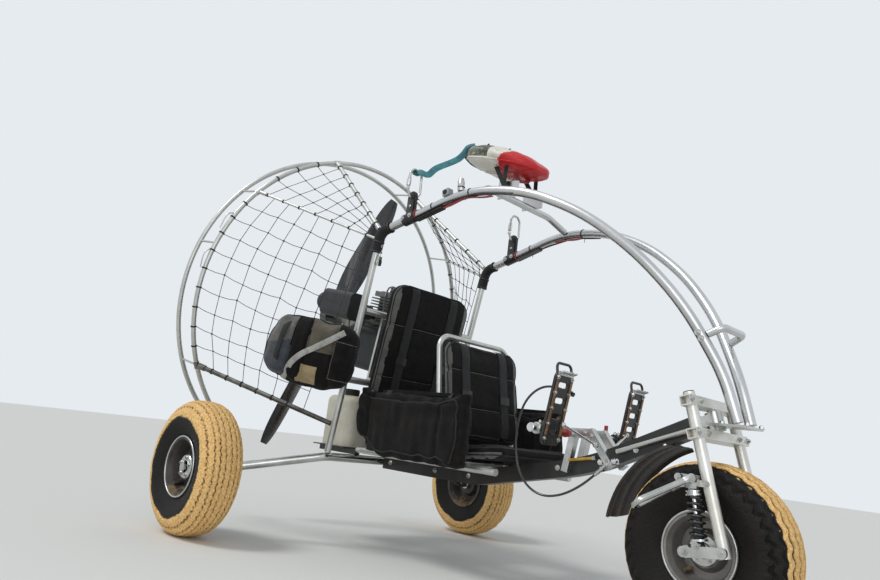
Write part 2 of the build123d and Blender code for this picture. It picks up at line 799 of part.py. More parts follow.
fin_count = 9
fin_pitch = 12
cylinder_back = -440
cylinder_base = crank_high + 99 + wheel_gap
cylinder_plane = Plane(origin=in_unit(0, cylinder_back, cylinder_base), x_dir=(1, 0, 0), z_dir=unit_up)
with BuildPart() as cylinder:
    with BuildSketch(cylinder_plane):
        Circle(43)
    extrude(amount=fin_count * fin_pitch + 34)
    for fin in range(fin_count):
        with BuildSketch(cylinder_plane.offset(10 + fin * fin_pitch)):
            RectangleRounded(128, 116, 24)
        extrude(amount=4)
    with BuildSketch(cylinder_plane.offset(fin_count * fin_pitch + 10)):
        RectangleRounded(112, 100, 20)
    extrude(amount=20)
    with BuildSketch(cylinder_plane.offset(fin_count * fin_pitch + 30)):
        Circle(9)
    extrude(amount=34)
cylinder.part.label = "cylinder"
export_step(cylinder.part, "parts/cylinder.step")

shaft_low = case_back + wheel_gap
case_deep = 78
with BuildPart() as reduction_housing:
    with BuildSketch(unit_plane(shaft_low)) as section:
        with BuildLine():
            left = Line((-78, crank_high), (-52, 0))
            lid = ThreePointArc(left @ 1, (0, 56), (52, 0))
            right = Line(lid @ 1, (78, crank_high))
            ThreePointArc(right @ 1, (0, crank_high - 78), left @ 0)
        make_face()
    extrude(amount=case_deep)
    with BuildSketch(unit_plane(shaft_low + case_deep)):
        Circle(34)
    extrude(amount=60)
    with BuildSketch(unit_plane(shaft_low + case_deep + 60)):
        Circle(shaft_r)
    extrude(amount=150)
reduction_housing.part.label = "reduction_housing"
export_step(reduction_housing.part, "parts/reduction_housing.step")

# Intake on the right: carburettor on the cylinder, with its airbox behind
port_high = cylinder_base + 40
with BuildPart() as intake:
    bend = in_unit(-100, cylinder_back, port_high)
    mouth = in_unit(-152, cylinder_back + 16, port_high + 6)
    round_bar(in_unit(-64 - wheel_gap, cylinder_back, port_high), bend, 40)
    round_bar(in_unit(-88, cylinder_back, port_high), mouth, 58)
    with BuildSketch(unit_plane(cylinder_back - 30, -176, port_high + 8)):
        RectangleRounded(86, 108, 22)
    extrude(amount=190)
    with BuildSketch(unit_plane(cylinder_back + 150, -176, port_high + 8)):
        Circle(38)
    extrude(amount=50)
intake.part.label = "intake"
export_step(intake.part, "parts/intake.step")

# Exhaust on the left: header, expansion chamber and silencer
pipe_start = in_unit(64 + wheel_gap, cylinder_back, port_high)
with BuildPart() as exhaust:
    route = [
        pipe_start,
        in_unit(122, cylinder_back, port_high),
        in_unit(150, cylinder_back, cylinder_base - 60),
    ]
    bent_bar(route, 40, 40)
    down = (route[2] - route[1]).normalized()
    chamber = [(0, 0), (20, 0), (50, 90), (50, 170), (18, 250), (0, 250)]
    with BuildSketch(Plane(origin=route[2], x_dir=down.cross(thrust), z_dir=thrust)):
        with BuildLine():
            Polyline(*chamber, close=True)
        make_face()
    revolve(axis=Axis(route[2], down))
exhaust.part.label = "exhaust"
export_step(exhaust.part, "parts/exhaust.step")

# Propeller: hub plates on the shaft and two twisted blades
prop_back = -hoop_gap / 2
hub_t = 44
blade_sections = [
    # radius, chord, thickness, angle from the disc
    (40, 60, 34, 60),
    (110, 84, 24, 44),
    (260, 104, 15, 26),
    (440, 90, 10, 17),
    (580, 64, 6, 13),
    (prop_r, 40, 4, 12),
]
with BuildPart() as propeller:
    with BuildSketch(unit_plane(prop_back - hub_t / 2)):
        Circle(prop_hub_r)
    extrude(amount=hub_t)
    for blade_angle in (17, 197):
        turn = math.radians(blade_angle)
        outward = (Vector(math.sin(turn), 0, 0) + unit_up * math.cos(turn)).normalized()
        tangent = outward.cross(thrust)
        for radius, chord, thick, angle in blade_sections:
            pitch = math.radians(angle)
            edge = tangent * math.cos(pitch) + thrust * math.sin(pitch)
            at = in_unit(0, prop_back, 0) + outward * radius
            with BuildSketch(Plane(origin=at, x_dir=edge, z_dir=outward)):
                with BuildLine():
                    upper = ThreePointArc((-chord / 2, 0), (0, thick * 0.65), (chord / 2, 0))
                    ThreePointArc(upper @ 1, (0, -thick * 0.35), upper @ 0)
                make_face()
        loft()
    with BuildSketch(unit_plane(prop_back - hub_t / 2 - 1)):
        Circle(shaft_bore_r)
    extrude(amount=hub_t + 2, mode=Mode.SUBTRACT)
propeller.part.label = "propeller"
export_step(propeller.part, "parts/propeller.step")

# Fuel tank on a tray behind the rear legs, its bearers on the level axle tube
bearer_up = joint_up + axle_tube_d / 2 + 10 + wheel_gap
tray_t = 4
tray_up = bearer_up + 10 + tray_t / 2 - 1
tank_ahead = 38
with BuildPart() as tank_tray:
    box_bar(spot(-190, tank_ahead, tray_up), spot(190, tank_ahead, tray_up), 190, tray_t,
            across=Vector(0, 1, 0))
    for side in (-150, 150):
        box_bar(spot(side, joint_ahead + 9, bearer_up), spot(side, tank_ahead - 90, bearer_up), 20, 20)
tank_tray.part.label = "tank_tray"
export_step(tank_tray.part, "parts/tank_tray.step")

with BuildPart() as fuel_tank:
    with BuildSketch(Plane.XY.offset(tray_up + tray_t / 2 + wheel_gap)):
        with Locations(spot(0, tank_ahead, 0)):
            RectangleRounded(340, 180, 40)
    extrude(amount=190)
    fillet(fuel_tank.edges().group_by(Axis.Z)[-1], 24)
    with BuildSketch(Plane.XY.offset(tray_up + 190)):
        with Locations(spot(-110, tank_ahead, 0)):
            Circle(28)
    extrude(amount=30)
fuel_tank.part.label = "fuel_tank"
export_step(fuel_tank.part, "parts/fuel_tank.step")

# Seat frame: a bent rail round both seats, cross tubes over the keel and the front seat's hoop
rail_side = 190
rail_d = 22
rail_up = joint_up + keel_h / 2 + rail_d / 2 + wheel_gap
rail_front = 880
rail_rear = 192
cross_bar_d = 18
hoop_foot = 636
back_ahead, back_up = 560, 760
with BuildPart() as seat_frame:
    route = [
        spot(-rail_side, rail_front, rail_up),
        spot(-rail_side, rail_rear, rail_up),
        spot(rail_side, rail_rear, rail_up),
        spot(rail_side, rail_front, rail_up),
    ]
    bent_bar(route, 50, rail_d)
    for ahead in (400, 590):
        round_bar(spot(-rail_side, ahead, rail_up), spot(rail_side, ahead, rail_up), cross_bar_d)
    back_route = [
        spot(-rail_side, hoop_foot, rail_up),
        spot(-rail_side + 8, back_ahead, back_up),
        spot(rail_side - 8, back_ahead, back_up),
        spot(rail_side, hoop_foot, rail_up),
    ]
    bent_bar(back_route, 50, cross_bar_d)
seat_frame.part.label = "seat_frame"
export_step(seat_frame.part, "parts/seat_frame.step")

# Seats: cushions, the rear one on the rails, the front one from the rails to the rising keel
pad_t = 50
pad_w = 396
pad_corner = 40
rear_seat_rear, rear_seat_front = 238, 540
front_seat_rear, front_seat_front = 640, 886
seat_low = rail_up + rail_d / 2 + wheel_gap
keel_slope = (keel_route[1].Z - keel_route[2].Z) / (keel_route[2].Y - keel_route[1].Y)


def keel_top(ahead):
    """The height of the keel's top face on its middle run."""
    rise = (ahead - keel_heel[0]) * keel_slope
    return joint_up + rise + keel_h / 2 * math.sqrt(1 + keel_slope ** 2)


seats = [
    # name, rear end, front end, height of the underside at each end
    ("rear_seat", rear_seat_rear, rear_seat_front, seat_low, seat_low),
    ("front_seat", front_seat_rear, front_seat_front, seat_low, keel_top(front_seat_front) + wheel_gap),
]
for name, rear, front, rear_up, front_up in seats:
    with BuildPart() as seat_pad:
        low = spot(0, rear, rear_up)
        run = spot(0, front, front_up) - low
        with BuildSketch(Plane(origin=low + run / 2, x_dir=(1, 0, 0), z_dir=Vector(-1, 0, 0).cross(run))):
            RectangleRounded(pad_w, run.length, pad_corner)
        extrude(amount=pad_t)
    seat_pad.part.label = name
    export_step(seat_pad.part, f"parts/{name}.step")

with BuildPart() as rear_seat_back:
    rear_face = min(leg_frame(up)[0] for up in mount_ups) - mount_d / 2 - wheel_gap
    with BuildSketch(unit_plane(rear_face, high=-82)):
        RectangleRounded(pad_w, 520, 60)
    extrude(amount=-pad_t)
rear_seat_back.part.label = "rear_seat_back"
export_step(rear_seat_back.part, "parts/rear_seat_back.step")

back_pad_h = 330
back_pad_t = 36
back_pad_low = 78
hoop_run = (spot(0, back_ahead, back_up) - spot(0, hoop_foot, rail_up)).normalized()
hoop_out = Vector(1, 0, 0).cross(hoop_run)
back_foot = (spot(0, hoop_foot, rail_up) + hoop_run * (back_pad_low + back_pad_h / 2)
             + hoop_out * (cross_bar_d / 2 + wheel_gap))
with BuildPart() as front_seat_back:
    with BuildSketch(Plane(origin=back_foot, x_dir=(1, 0, 0), z_dir=hoop_out)):
        RectangleRounded(pad_w - 16, back_pad_h, 50)
    extrude(amount=back_pad_t)
front_seat_back.part.label = "front_seat_back"
export_step(front_seat_back.part, "parts/front_seat_back.step")

# Fabric panniers hung on the rails beside both seats
skirt_in = rail_side + rail_d / 2 + wheel_gap
skirt_w = 84
skirt_rear, skirt_front = 272, 800
with BuildPart() as side_panniers:
    for hand in (-1, 1):
        with BuildSketch(Plane.XY.offset(312)):
            with Locations(spot(hand * (skirt_in + skirt_w / 2), (skirt_rear + skirt_front) / 2, 0)):
                RectangleRounded(skirt_w, skirt_front - skirt_rear, 30)
        extrude(amount=250)
side_panniers.part.label = "side_panniers"
export_step(side_panniers.part, "parts/side_panniers.step")

# Stowage bag outside the right net, square to it
out_dir = (Vector(-0.72, 0, 0) - thrust * 0.69).normalized()
along_dir = (Vector(-0.69, 0, 0) + thrust * 0.72).normalized()
leg_point = on_leg(-1, 652)
bag_seat = leg_point + out_dir * (leg_d_rear / 2 + 2.4)
bag_t = 140
with BuildPart() as stowage_bag:
    with BuildSketch(Plane(origin=bag_seat + along_dir * 130, x_dir=along_dir, z_dir=out_dir)):
        RectangleRounded(340, 236, 50)
    extrude(amount=bag_t)
    fillet(stowage_bag.faces().sort_by(Axis(bag_seat, out_dir))[-1].edges(), 40)
stowage_bag.part.label = "stowage_bag"
export_step(stowage_bag.part, "parts/stowage_bag.step")

# Pedal bracket on the keel, its cross bar and the lug that holds the end of the pedal cable
bracket_w = 22
bracket_side = keel_w / 2 + bracket_w / 2 + wheel_gap
bar_ahead, bar_up = wheelbase - 415, 478
bar_d = 20
bar_half = 250
cable_d = 7
barrel_d = 13
barrel_reach = 20
cable_route = [
    # side, behind the front axle, up: from the pedal's barrel round in one loop to the bracket's lug
    (-148, 371, 590),
    (-147, 420, 607),
    (-145, 478, 601),
    (-141, 529, 562),
    (-136, 555, 498),
    (-131, 561, 427),
    (-126, 548, 360),
    (-120, 512, 309),
    (-112, 458, 287),
    (-101, 400, 298),
    (-88, 351, 328),
    (-76, 315, 362),
    (-70, 297, 383),
]
cable_points = [spot(side, wheelbase - behind, up) for side, behind, up in cable_route]
with BuildPart() as pedal_bracket:
    for hand in (-1, 1):
        route = [
            spot(hand * bracket_side, wheelbase - 287, 402),
            spot(hand * bracket_side, wheelbase - 357, 486),
            spot(hand * bracket_side, bar_ahead, bar_up + 6),
            spot(hand * bracket_side, bar_ahead - 20, 372),
        ]
        for start, end in zip(route, route[1:]):
            run = (end - start).normalized()
            box_bar(start - run * 8, end + run * 8, bracket_w, bracket_w)
    round_bar(spot(-bar_half, bar_ahead, bar_up), spot(bar_half, bar_ahead, bar_up), bar_d)
    cable_end = cable_points[-1]
    onward = (cable_end - cable_points[-2]).normalized()
    round_bar(cable_end, cable_end + onward * barrel_reach, barrel_d)
    lug_mid = cable_end + onward * (barrel_reach * 0.55)
    box_bar(lug_mid, Vector(-bracket_side, lug_mid.Y, lug_mid.Z), 10, 12, across=Vector(0, 1, 0))
pedal_bracket.part.label = "pedal_bracket"
export_step(pedal_bracket.part, "parts/pedal_bracket.step")

# Pedals: slotted plates with a toe hook, clamped on the cross bar
pedal_side = 200
pedal_foot = (wheelbase - 389, 440)
pedal_top = (wheelbase - 355, 640)
pedal_w = 84
pedal_h = 210
pedal_t = 8
slot_pitch = 44
hook_half = 34
hook_low, hook_high = 196, 226
with BuildPart() as pedals:
    for hand in (-1, 1):
        foot = spot(hand * pedal_side, *pedal_foot)
        plate_run = (spot(hand * pedal_side, *pedal_top) - foot).normalized()
        plate_out = Vector(1, 0, 0).cross(plate_run)
        with BuildSketch(Plane(origin=foot + plate_run * 100, x_dir=(1, 0, 0), z_dir=plate_out)):
            RectangleRounded(pedal_w, pedal_h, 20)
            with GridLocations(0, slot_pitch, 1, 4):
                RectangleRounded(pedal_w / 2 + 2, 16, 6, mode=Mode.SUBTRACT)
        extrude(amount=pedal_t)
        middle_out = plate_out * (pedal_t / 2)
        hook = [
            foot + plate_run * hook_low + Vector(-hook_half, 0, 0),
            foot + plate_run * hook_high + Vector(-hook_half, 0, 0) - plate_out * 10,
            foot + plate_run * hook_high + Vector(hook_half, 0, 0) - plate_out * 10,
            foot + plate_run * hook_low + Vector(hook_half, 0, 0),
        ]
        bent_bar([point + middle_out for point in hook], 14, pedal_t)
        clamp = spot(hand * pedal_side, bar_ahead, bar_up)
        round_bar(clamp - Vector(18, 0, 0), clamp + Vector(18, 0, 0), 34)
        box_bar(clamp, foot + plate_run * 38 + middle_out, 30, 20)
        round_bar(clamp - Vector(60, 0, 0), clamp + Vector(60, 0, 0), bar_d + 2 * wheel_gap,
                  mode=Mode.SUBTRACT)
    leaving = (cable_points[1] - cable_points[0]).normalized()
    barrel_back = cable_points[0] - leaving * barrel_reach
    round_bar(barrel_back, cable_points[0], barrel_d)
    barrel_mid = cable_points[0] - leaving * (barrel_reach * 0.55)
    box_bar(barrel_mid, barrel_mid - Vector(14, 0, 0), 8, 10, across=Vector(0, 1, 0))
pedals.part.label = "pedals"
export_step(pedals.part, "parts/pedals.step")

# Pedal cable in one free loop, its ends square against the two barrels
cable_bends = easy_bends(cable_points)
with BuildPart() as pedal_cable:
    with BuildLine() as path:
        FilletPolyline(*cable_points, radius=cable_bends)
    with BuildSketch(path.line ^ 0) as section:
        Circle(cable_d / 2)
    sweep(section.sketch, path=path.line)
cable_length = sum(edge.length for edge in path.line.edges())
swept = math.pi * cable_d ** 2 / 4 * cable_length
print(f"pedal cable: {cable_length:.0f} mm, bends {[round(bend) for bend in cable_bends]},",
      f"volume against section times length {pedal_cable.part.volume / swept:.4f}")
pedal_cable.part.label = "pedal_cable"
export_step(pedal_cable.part, "parts/pedal_cable.step")
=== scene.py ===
import math
import random

import bmesh
import bpy
from mathutils import Matrix, Vector, noise
from mathutils.bvhtree import BVHTree


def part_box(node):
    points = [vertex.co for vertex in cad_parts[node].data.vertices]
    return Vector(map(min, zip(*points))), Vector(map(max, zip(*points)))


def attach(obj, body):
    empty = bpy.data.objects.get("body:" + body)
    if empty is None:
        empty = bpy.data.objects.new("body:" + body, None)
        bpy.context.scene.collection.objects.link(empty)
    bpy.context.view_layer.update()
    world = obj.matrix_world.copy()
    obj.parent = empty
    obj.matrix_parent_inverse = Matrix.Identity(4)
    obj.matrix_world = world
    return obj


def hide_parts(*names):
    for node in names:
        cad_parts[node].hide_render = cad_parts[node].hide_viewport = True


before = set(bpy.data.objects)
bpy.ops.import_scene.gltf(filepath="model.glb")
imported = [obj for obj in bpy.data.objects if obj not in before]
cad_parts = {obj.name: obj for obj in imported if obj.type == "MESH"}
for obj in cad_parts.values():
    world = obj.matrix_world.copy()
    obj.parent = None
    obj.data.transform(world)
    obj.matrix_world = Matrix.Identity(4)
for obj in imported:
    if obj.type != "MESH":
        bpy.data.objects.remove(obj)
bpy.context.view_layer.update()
print("frame loaded with", len(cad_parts), "nodes")

rightTyreLow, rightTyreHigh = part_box("rear_right_tyre")
axleY = (rightTyreLow.y + rightTyreHigh.y) / 2


def spot(side, ahead, up):  # a place from the rear axle and the ground, side to the vehicle's left
    return Vector((side, axleY - ahead, up))


def boxMiddle(node):
    low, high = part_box(node)
    return (low + high) / 2


def toLinear(hexColour):
    parts = [int(hexColour[i:i + 2], 16) / 255 for i in (1, 3, 5)]
    return [p / 12.92 if p <= 0.04045 else ((p + 0.055) / 1.055) ** 2.4 for p in parts] + [1]


def addNode(tree, kind, settings=None, links=None):
    node = tree.nodes.new(kind)
    for key, value in (settings or {}).items():
        if isinstance(key, int) or key in node.inputs:
            node.inputs[key].default_value = value
        else:
            setattr(node, key, value)
    for key, source in (links or {}).items():
        tree.links.new(source, node.inputs[key])
    return node


def link(item):
    bpy.context.collection.objects.link(item)
    return item


# camera at the photograph's angle, close to the right front and a little above the floor
view = {
    "place": (-1.884, -1.717, 0.426),
    "forward": (0.6791, 0.7076, 0.1953),
    "roll": math.radians(7.19),
    "lens": 29.47,
}
forward = Vector(view["forward"]).normalized()
levelRight = forward.cross(Vector((0, 0, 1))).normalized()
levelUp = levelRight.cross(forward)
cameraRight = levelRight * math.cos(view["roll"]) + levelUp * math.sin(view["roll"])
cameraUp = levelUp * math.cos(view["roll"]) - levelRight * math.sin(view["roll"])
cameraData = bpy.data.cameras.new("photoCamera")
cameraData.lens = view["lens"]
cameraData.sensor_width = 36
cameraData.clip_start = 0.02
camera = bpy.data.objects.new("photoCamera", cameraData)
camera.matrix_world = Matrix((
    (cameraRight.x, cameraUp.x, -forward.x, view["place"][0]),
    (cameraRight.y, cameraUp.y, -forward.y, view["place"][1]),
    (cameraRight.z, cameraUp.z, -forward.z, view["place"][2]),
    (0, 0, 0, 1),
))
link(camera)
bpy.context.scene.camera = camera
bpy.context.scene.view_settings.view_transform = "Standard"
print("camera set")

# soft studio light, a pale world and a pale floor
studio = {
    "sky": "#e6ebf0",
    "floor": "#dcdcd8",
    "skyLight": 0.62,
    "sun": 1.25,
    "sunFrom": (-0.62, 0.25, 0.95),
    "fill": 22,
    "fillPlace": (-2.6, -2.6, 1.6),
}
world = bpy.data.worlds.new("studioSky")
world.use_nodes = True
worldTree = world.node_tree
worldTree.nodes.clear()
rays = addNode(worldTree, "ShaderNodeLightPath")
seen = addNode(worldTree, "ShaderNodeMath", {"operation": "MAXIMUM"},
               {0: rays.outputs["Is Camera Ray"], 1: rays.outputs["Is Glossy Ray"]})
seenAny = addNode(worldTree, "ShaderNodeMath", {"operation": "MAXIMUM"},
                  {0: seen.outputs[0], 1: rays.outputs["Is Transmission Ray"]})
strength = addNode(worldTree, "ShaderNodeMapRange", {"To Min": studio["skyLight"], "To Max": 1.0},
                   {"Value": seenAny.outputs[0]})
background = addNode(worldTree, "ShaderNodeBackground", {"Color": toLinear(studio["sky"])},
                     {"Strength": strength.outputs[0]})
addNode(worldTree, "ShaderNodeOutputWorld", None, {"Surface": background.outputs[0]})
bpy.context.scene.world = world

sunData = bpy.data.lights.new("softSun", "SUN")
sunData.energy = studio["sun"]
sunData.angle = math.radians(18)
sunLamp = bpy.data.objects.new("softSun", sunData)
sunLamp.rotation_euler = Vector(studio["sunFrom"]).to_track_quat("Z", "Y").to_euler()
link(sunLamp)

fillData = bpy.data.lights.new("fillPanel", "AREA")
fillData.energy = studio["fill"]
fillData.size = 2.2
fillLamp = bpy.data.objects.new("fillPanel", fillData)
fillLamp.location = studio["fillPlace"]
fillAim = Vector((0, 0, 0.7)) - Vector(studio["fillPlace"])
fillLamp.rotation_euler = fillAim.to_track_quat("-Z", "Y").to_euler()
link(fillLamp)


# materials
def startMaterial(name, shaderSettings):
    material = bpy.data.materials.new(name)
    material.use_nodes = True
    tree = material.node_tree
    tree.nodes.clear()
    shader = addNode(tree, "ShaderNodeBsdfPrincipled", shaderSettings)
    addNode(tree, "ShaderNodeOutputMaterial", None, {"Surface": shader.outputs[0]})
    place = addNode(tree, "ShaderNodeTexCoord").outputs["Object"]
    return material, tree, shader, place


def noiseOn(tree, place, scale, detail, rough=0.5, warp=0.0):
    settings = {"Scale": scale, "Detail": detail, "Roughness": rough, "Distortion": warp}
    return addNode(tree, "ShaderNodeTexNoise", settings, {"Vector": place}).outputs[0]


def remap(tree, value, low, high, start=0, end=1):
    settings = {"From Min": low, "From Max": high, "To Min": start, "To Max": end}
    return addNode(tree, "ShaderNodeMapRange", settings, {"Value": value}).outputs[0]


def mixed(tree, share, first, second):  # two colours, each a hex text or a socket
    settings, links = {"data_type": "RGBA"}, {0: share}
    for slot, colour in ((6, first), (7, second)):
        if isinstance(colour, str):
            settings[slot] = toLinear(colour)
        else:
            links[slot] = colour
    return addNode(tree, "ShaderNodeMix", settings, links).outputs[2]


def maths(tree, operation, *values):  # each value a number or a socket
    numbers = {i: value for i, value in enumerate(values) if isinstance(value, (int, float))}
    links = {i: value for i, value in enumerate(values) if i not in numbers}
    return addNode(tree, "ShaderNodeMath", {"operation": operation, **numbers}, links).outputs[0]


def fading(tree, share, value, end):  # a number that reaches its end where the share is 1
    return addNode(tree, "ShaderNodeMix", {3: end}, {0: share, 2: value}).outputs[0]


def bumped(tree, strength, distance, height, normal=None):
    links = {"Height": height, "Normal": normal} if normal else {"Height": height}
    return addNode(tree, "ShaderNodeBump", {"Strength": strength, "Distance": distance}, links).outputs[0]


shaderSockets = {"colour": "Base Color", "rough": "Roughness", "bump": "Normal"}


def dress(tree, shader, **sources):
    for label, source in sources.items():
        tree.links.new(source, shader.inputs[shaderSockets[label]])


extraSockets = {"sheen": "Sheen Weight", "coat": "Coat Weight", "specular": "Specular IOR Level"}


def makeFinish(name, look):
    fixed = {"Metallic": look.get("metallic", 0)}
    fixed.update({socket: look[key] for key, socket in extraSockets.items() if key in look})
    material, tree, shader, place = startMaterial(name, fixed)
    patches = noiseOn(tree, place, 1 / look["patch"], 6, 0.62)
    colour = mixed(tree, remap(tree, patches, 0.36, 0.64), look["base"], look["tint"])
    stretch = addNode(tree, "ShaderNodeMapping", {"Scale": look.get("stretch", (1, 1, 1))}, {"Vector": place})
    grain = noiseOn(tree, stretch.outputs[0], 1 / look["grain"], 4)
    rough = remap(tree, grain, 0.3, 0.7, *look["rough"])
    if "wear" in look:  # rubbed or chipped patches with a hard ragged edge
        tone, patch, share, wornRough = look["wear"]
        worn = noiseOn(tree, place, 1 / patch, 9, 0.72)
        wornShare = remap(tree, worn, 0.5 + share, 0.5 + share + 0.03)
        colour = mixed(tree, wornShare, colour, tone)
        rough = fading(tree, wornShare, rough, wornRough)
    if "mud" in look:  # dried mud, thicker towards the ground
        tone, top = look["mud"]
        height = addNode(tree, "ShaderNodeSeparateXYZ", None, {"Vector": place}).outputs["Z"]
        reach = remap(tree, height, top, 0.1, 0, 0.34)
        muddy = remap(tree, maths(tree, "ADD", noiseOn(tree, place, 45, 8, 0.7), reach), 0.66, 0.82)
        colour = mixed(tree, muddy, colour, tone)
        rough = fading(tree, muddy, rough, 0.95)
    bump = bumped(tree, look["bump"], look.get("depth", 0.0005), grain)
    if "weave" in look:  # crossing threads, drawn coarser than the real cloth so that they show
        wave = {"Scale": 0.314 / look["weave"], "Distortion": 0.6, "Detail": 1}
        threads = []
        for axis in "XYZ":
            lines = addNode(tree, "ShaderNodeTexWave", {"bands_direction": axis, **wave}, {"Vector": place})
            threads.append(lines.outputs[1])
        woven = maths(tree, "ADD", maths(tree, "ADD", threads[0], threads[1]), threads[2])
        bump = bumped(tree, 0.5, look["weave"] * 0.35, woven, bump)
    dress(tree, shader, colour=colour, rough=rough, bump=bump)
    return material


def look(base, tint, patch, rough, grain, bump, **more):
    # two tones and the size of their patches, the range of roughness, the grain's size and strength; then, where
    # they apply, wear as (tone, patch, share, roughness) and mud as (tone, height where it ends)
    return {"base": base, "tint": tint, "patch": patch, "rough": rough, "grain": grain, "bump": bump, **more}


def duck(base, tint, patch=0.05, rough=(0.8, 0.95), grain=0.01, weave=0.0018, **more):
    return look(base, tint, patch, rough, grain, 0.5, **{"depth": 0.001, "weave": weave, "sheen": 0.2, **more})


def webbing(base, tint, rough=(0.55, 0.75), sheen=0.3, **more):
    return look(base, tint, 0.02, rough, 0.002, 0.5, weave=0.0014, sheen=sheen, **more)


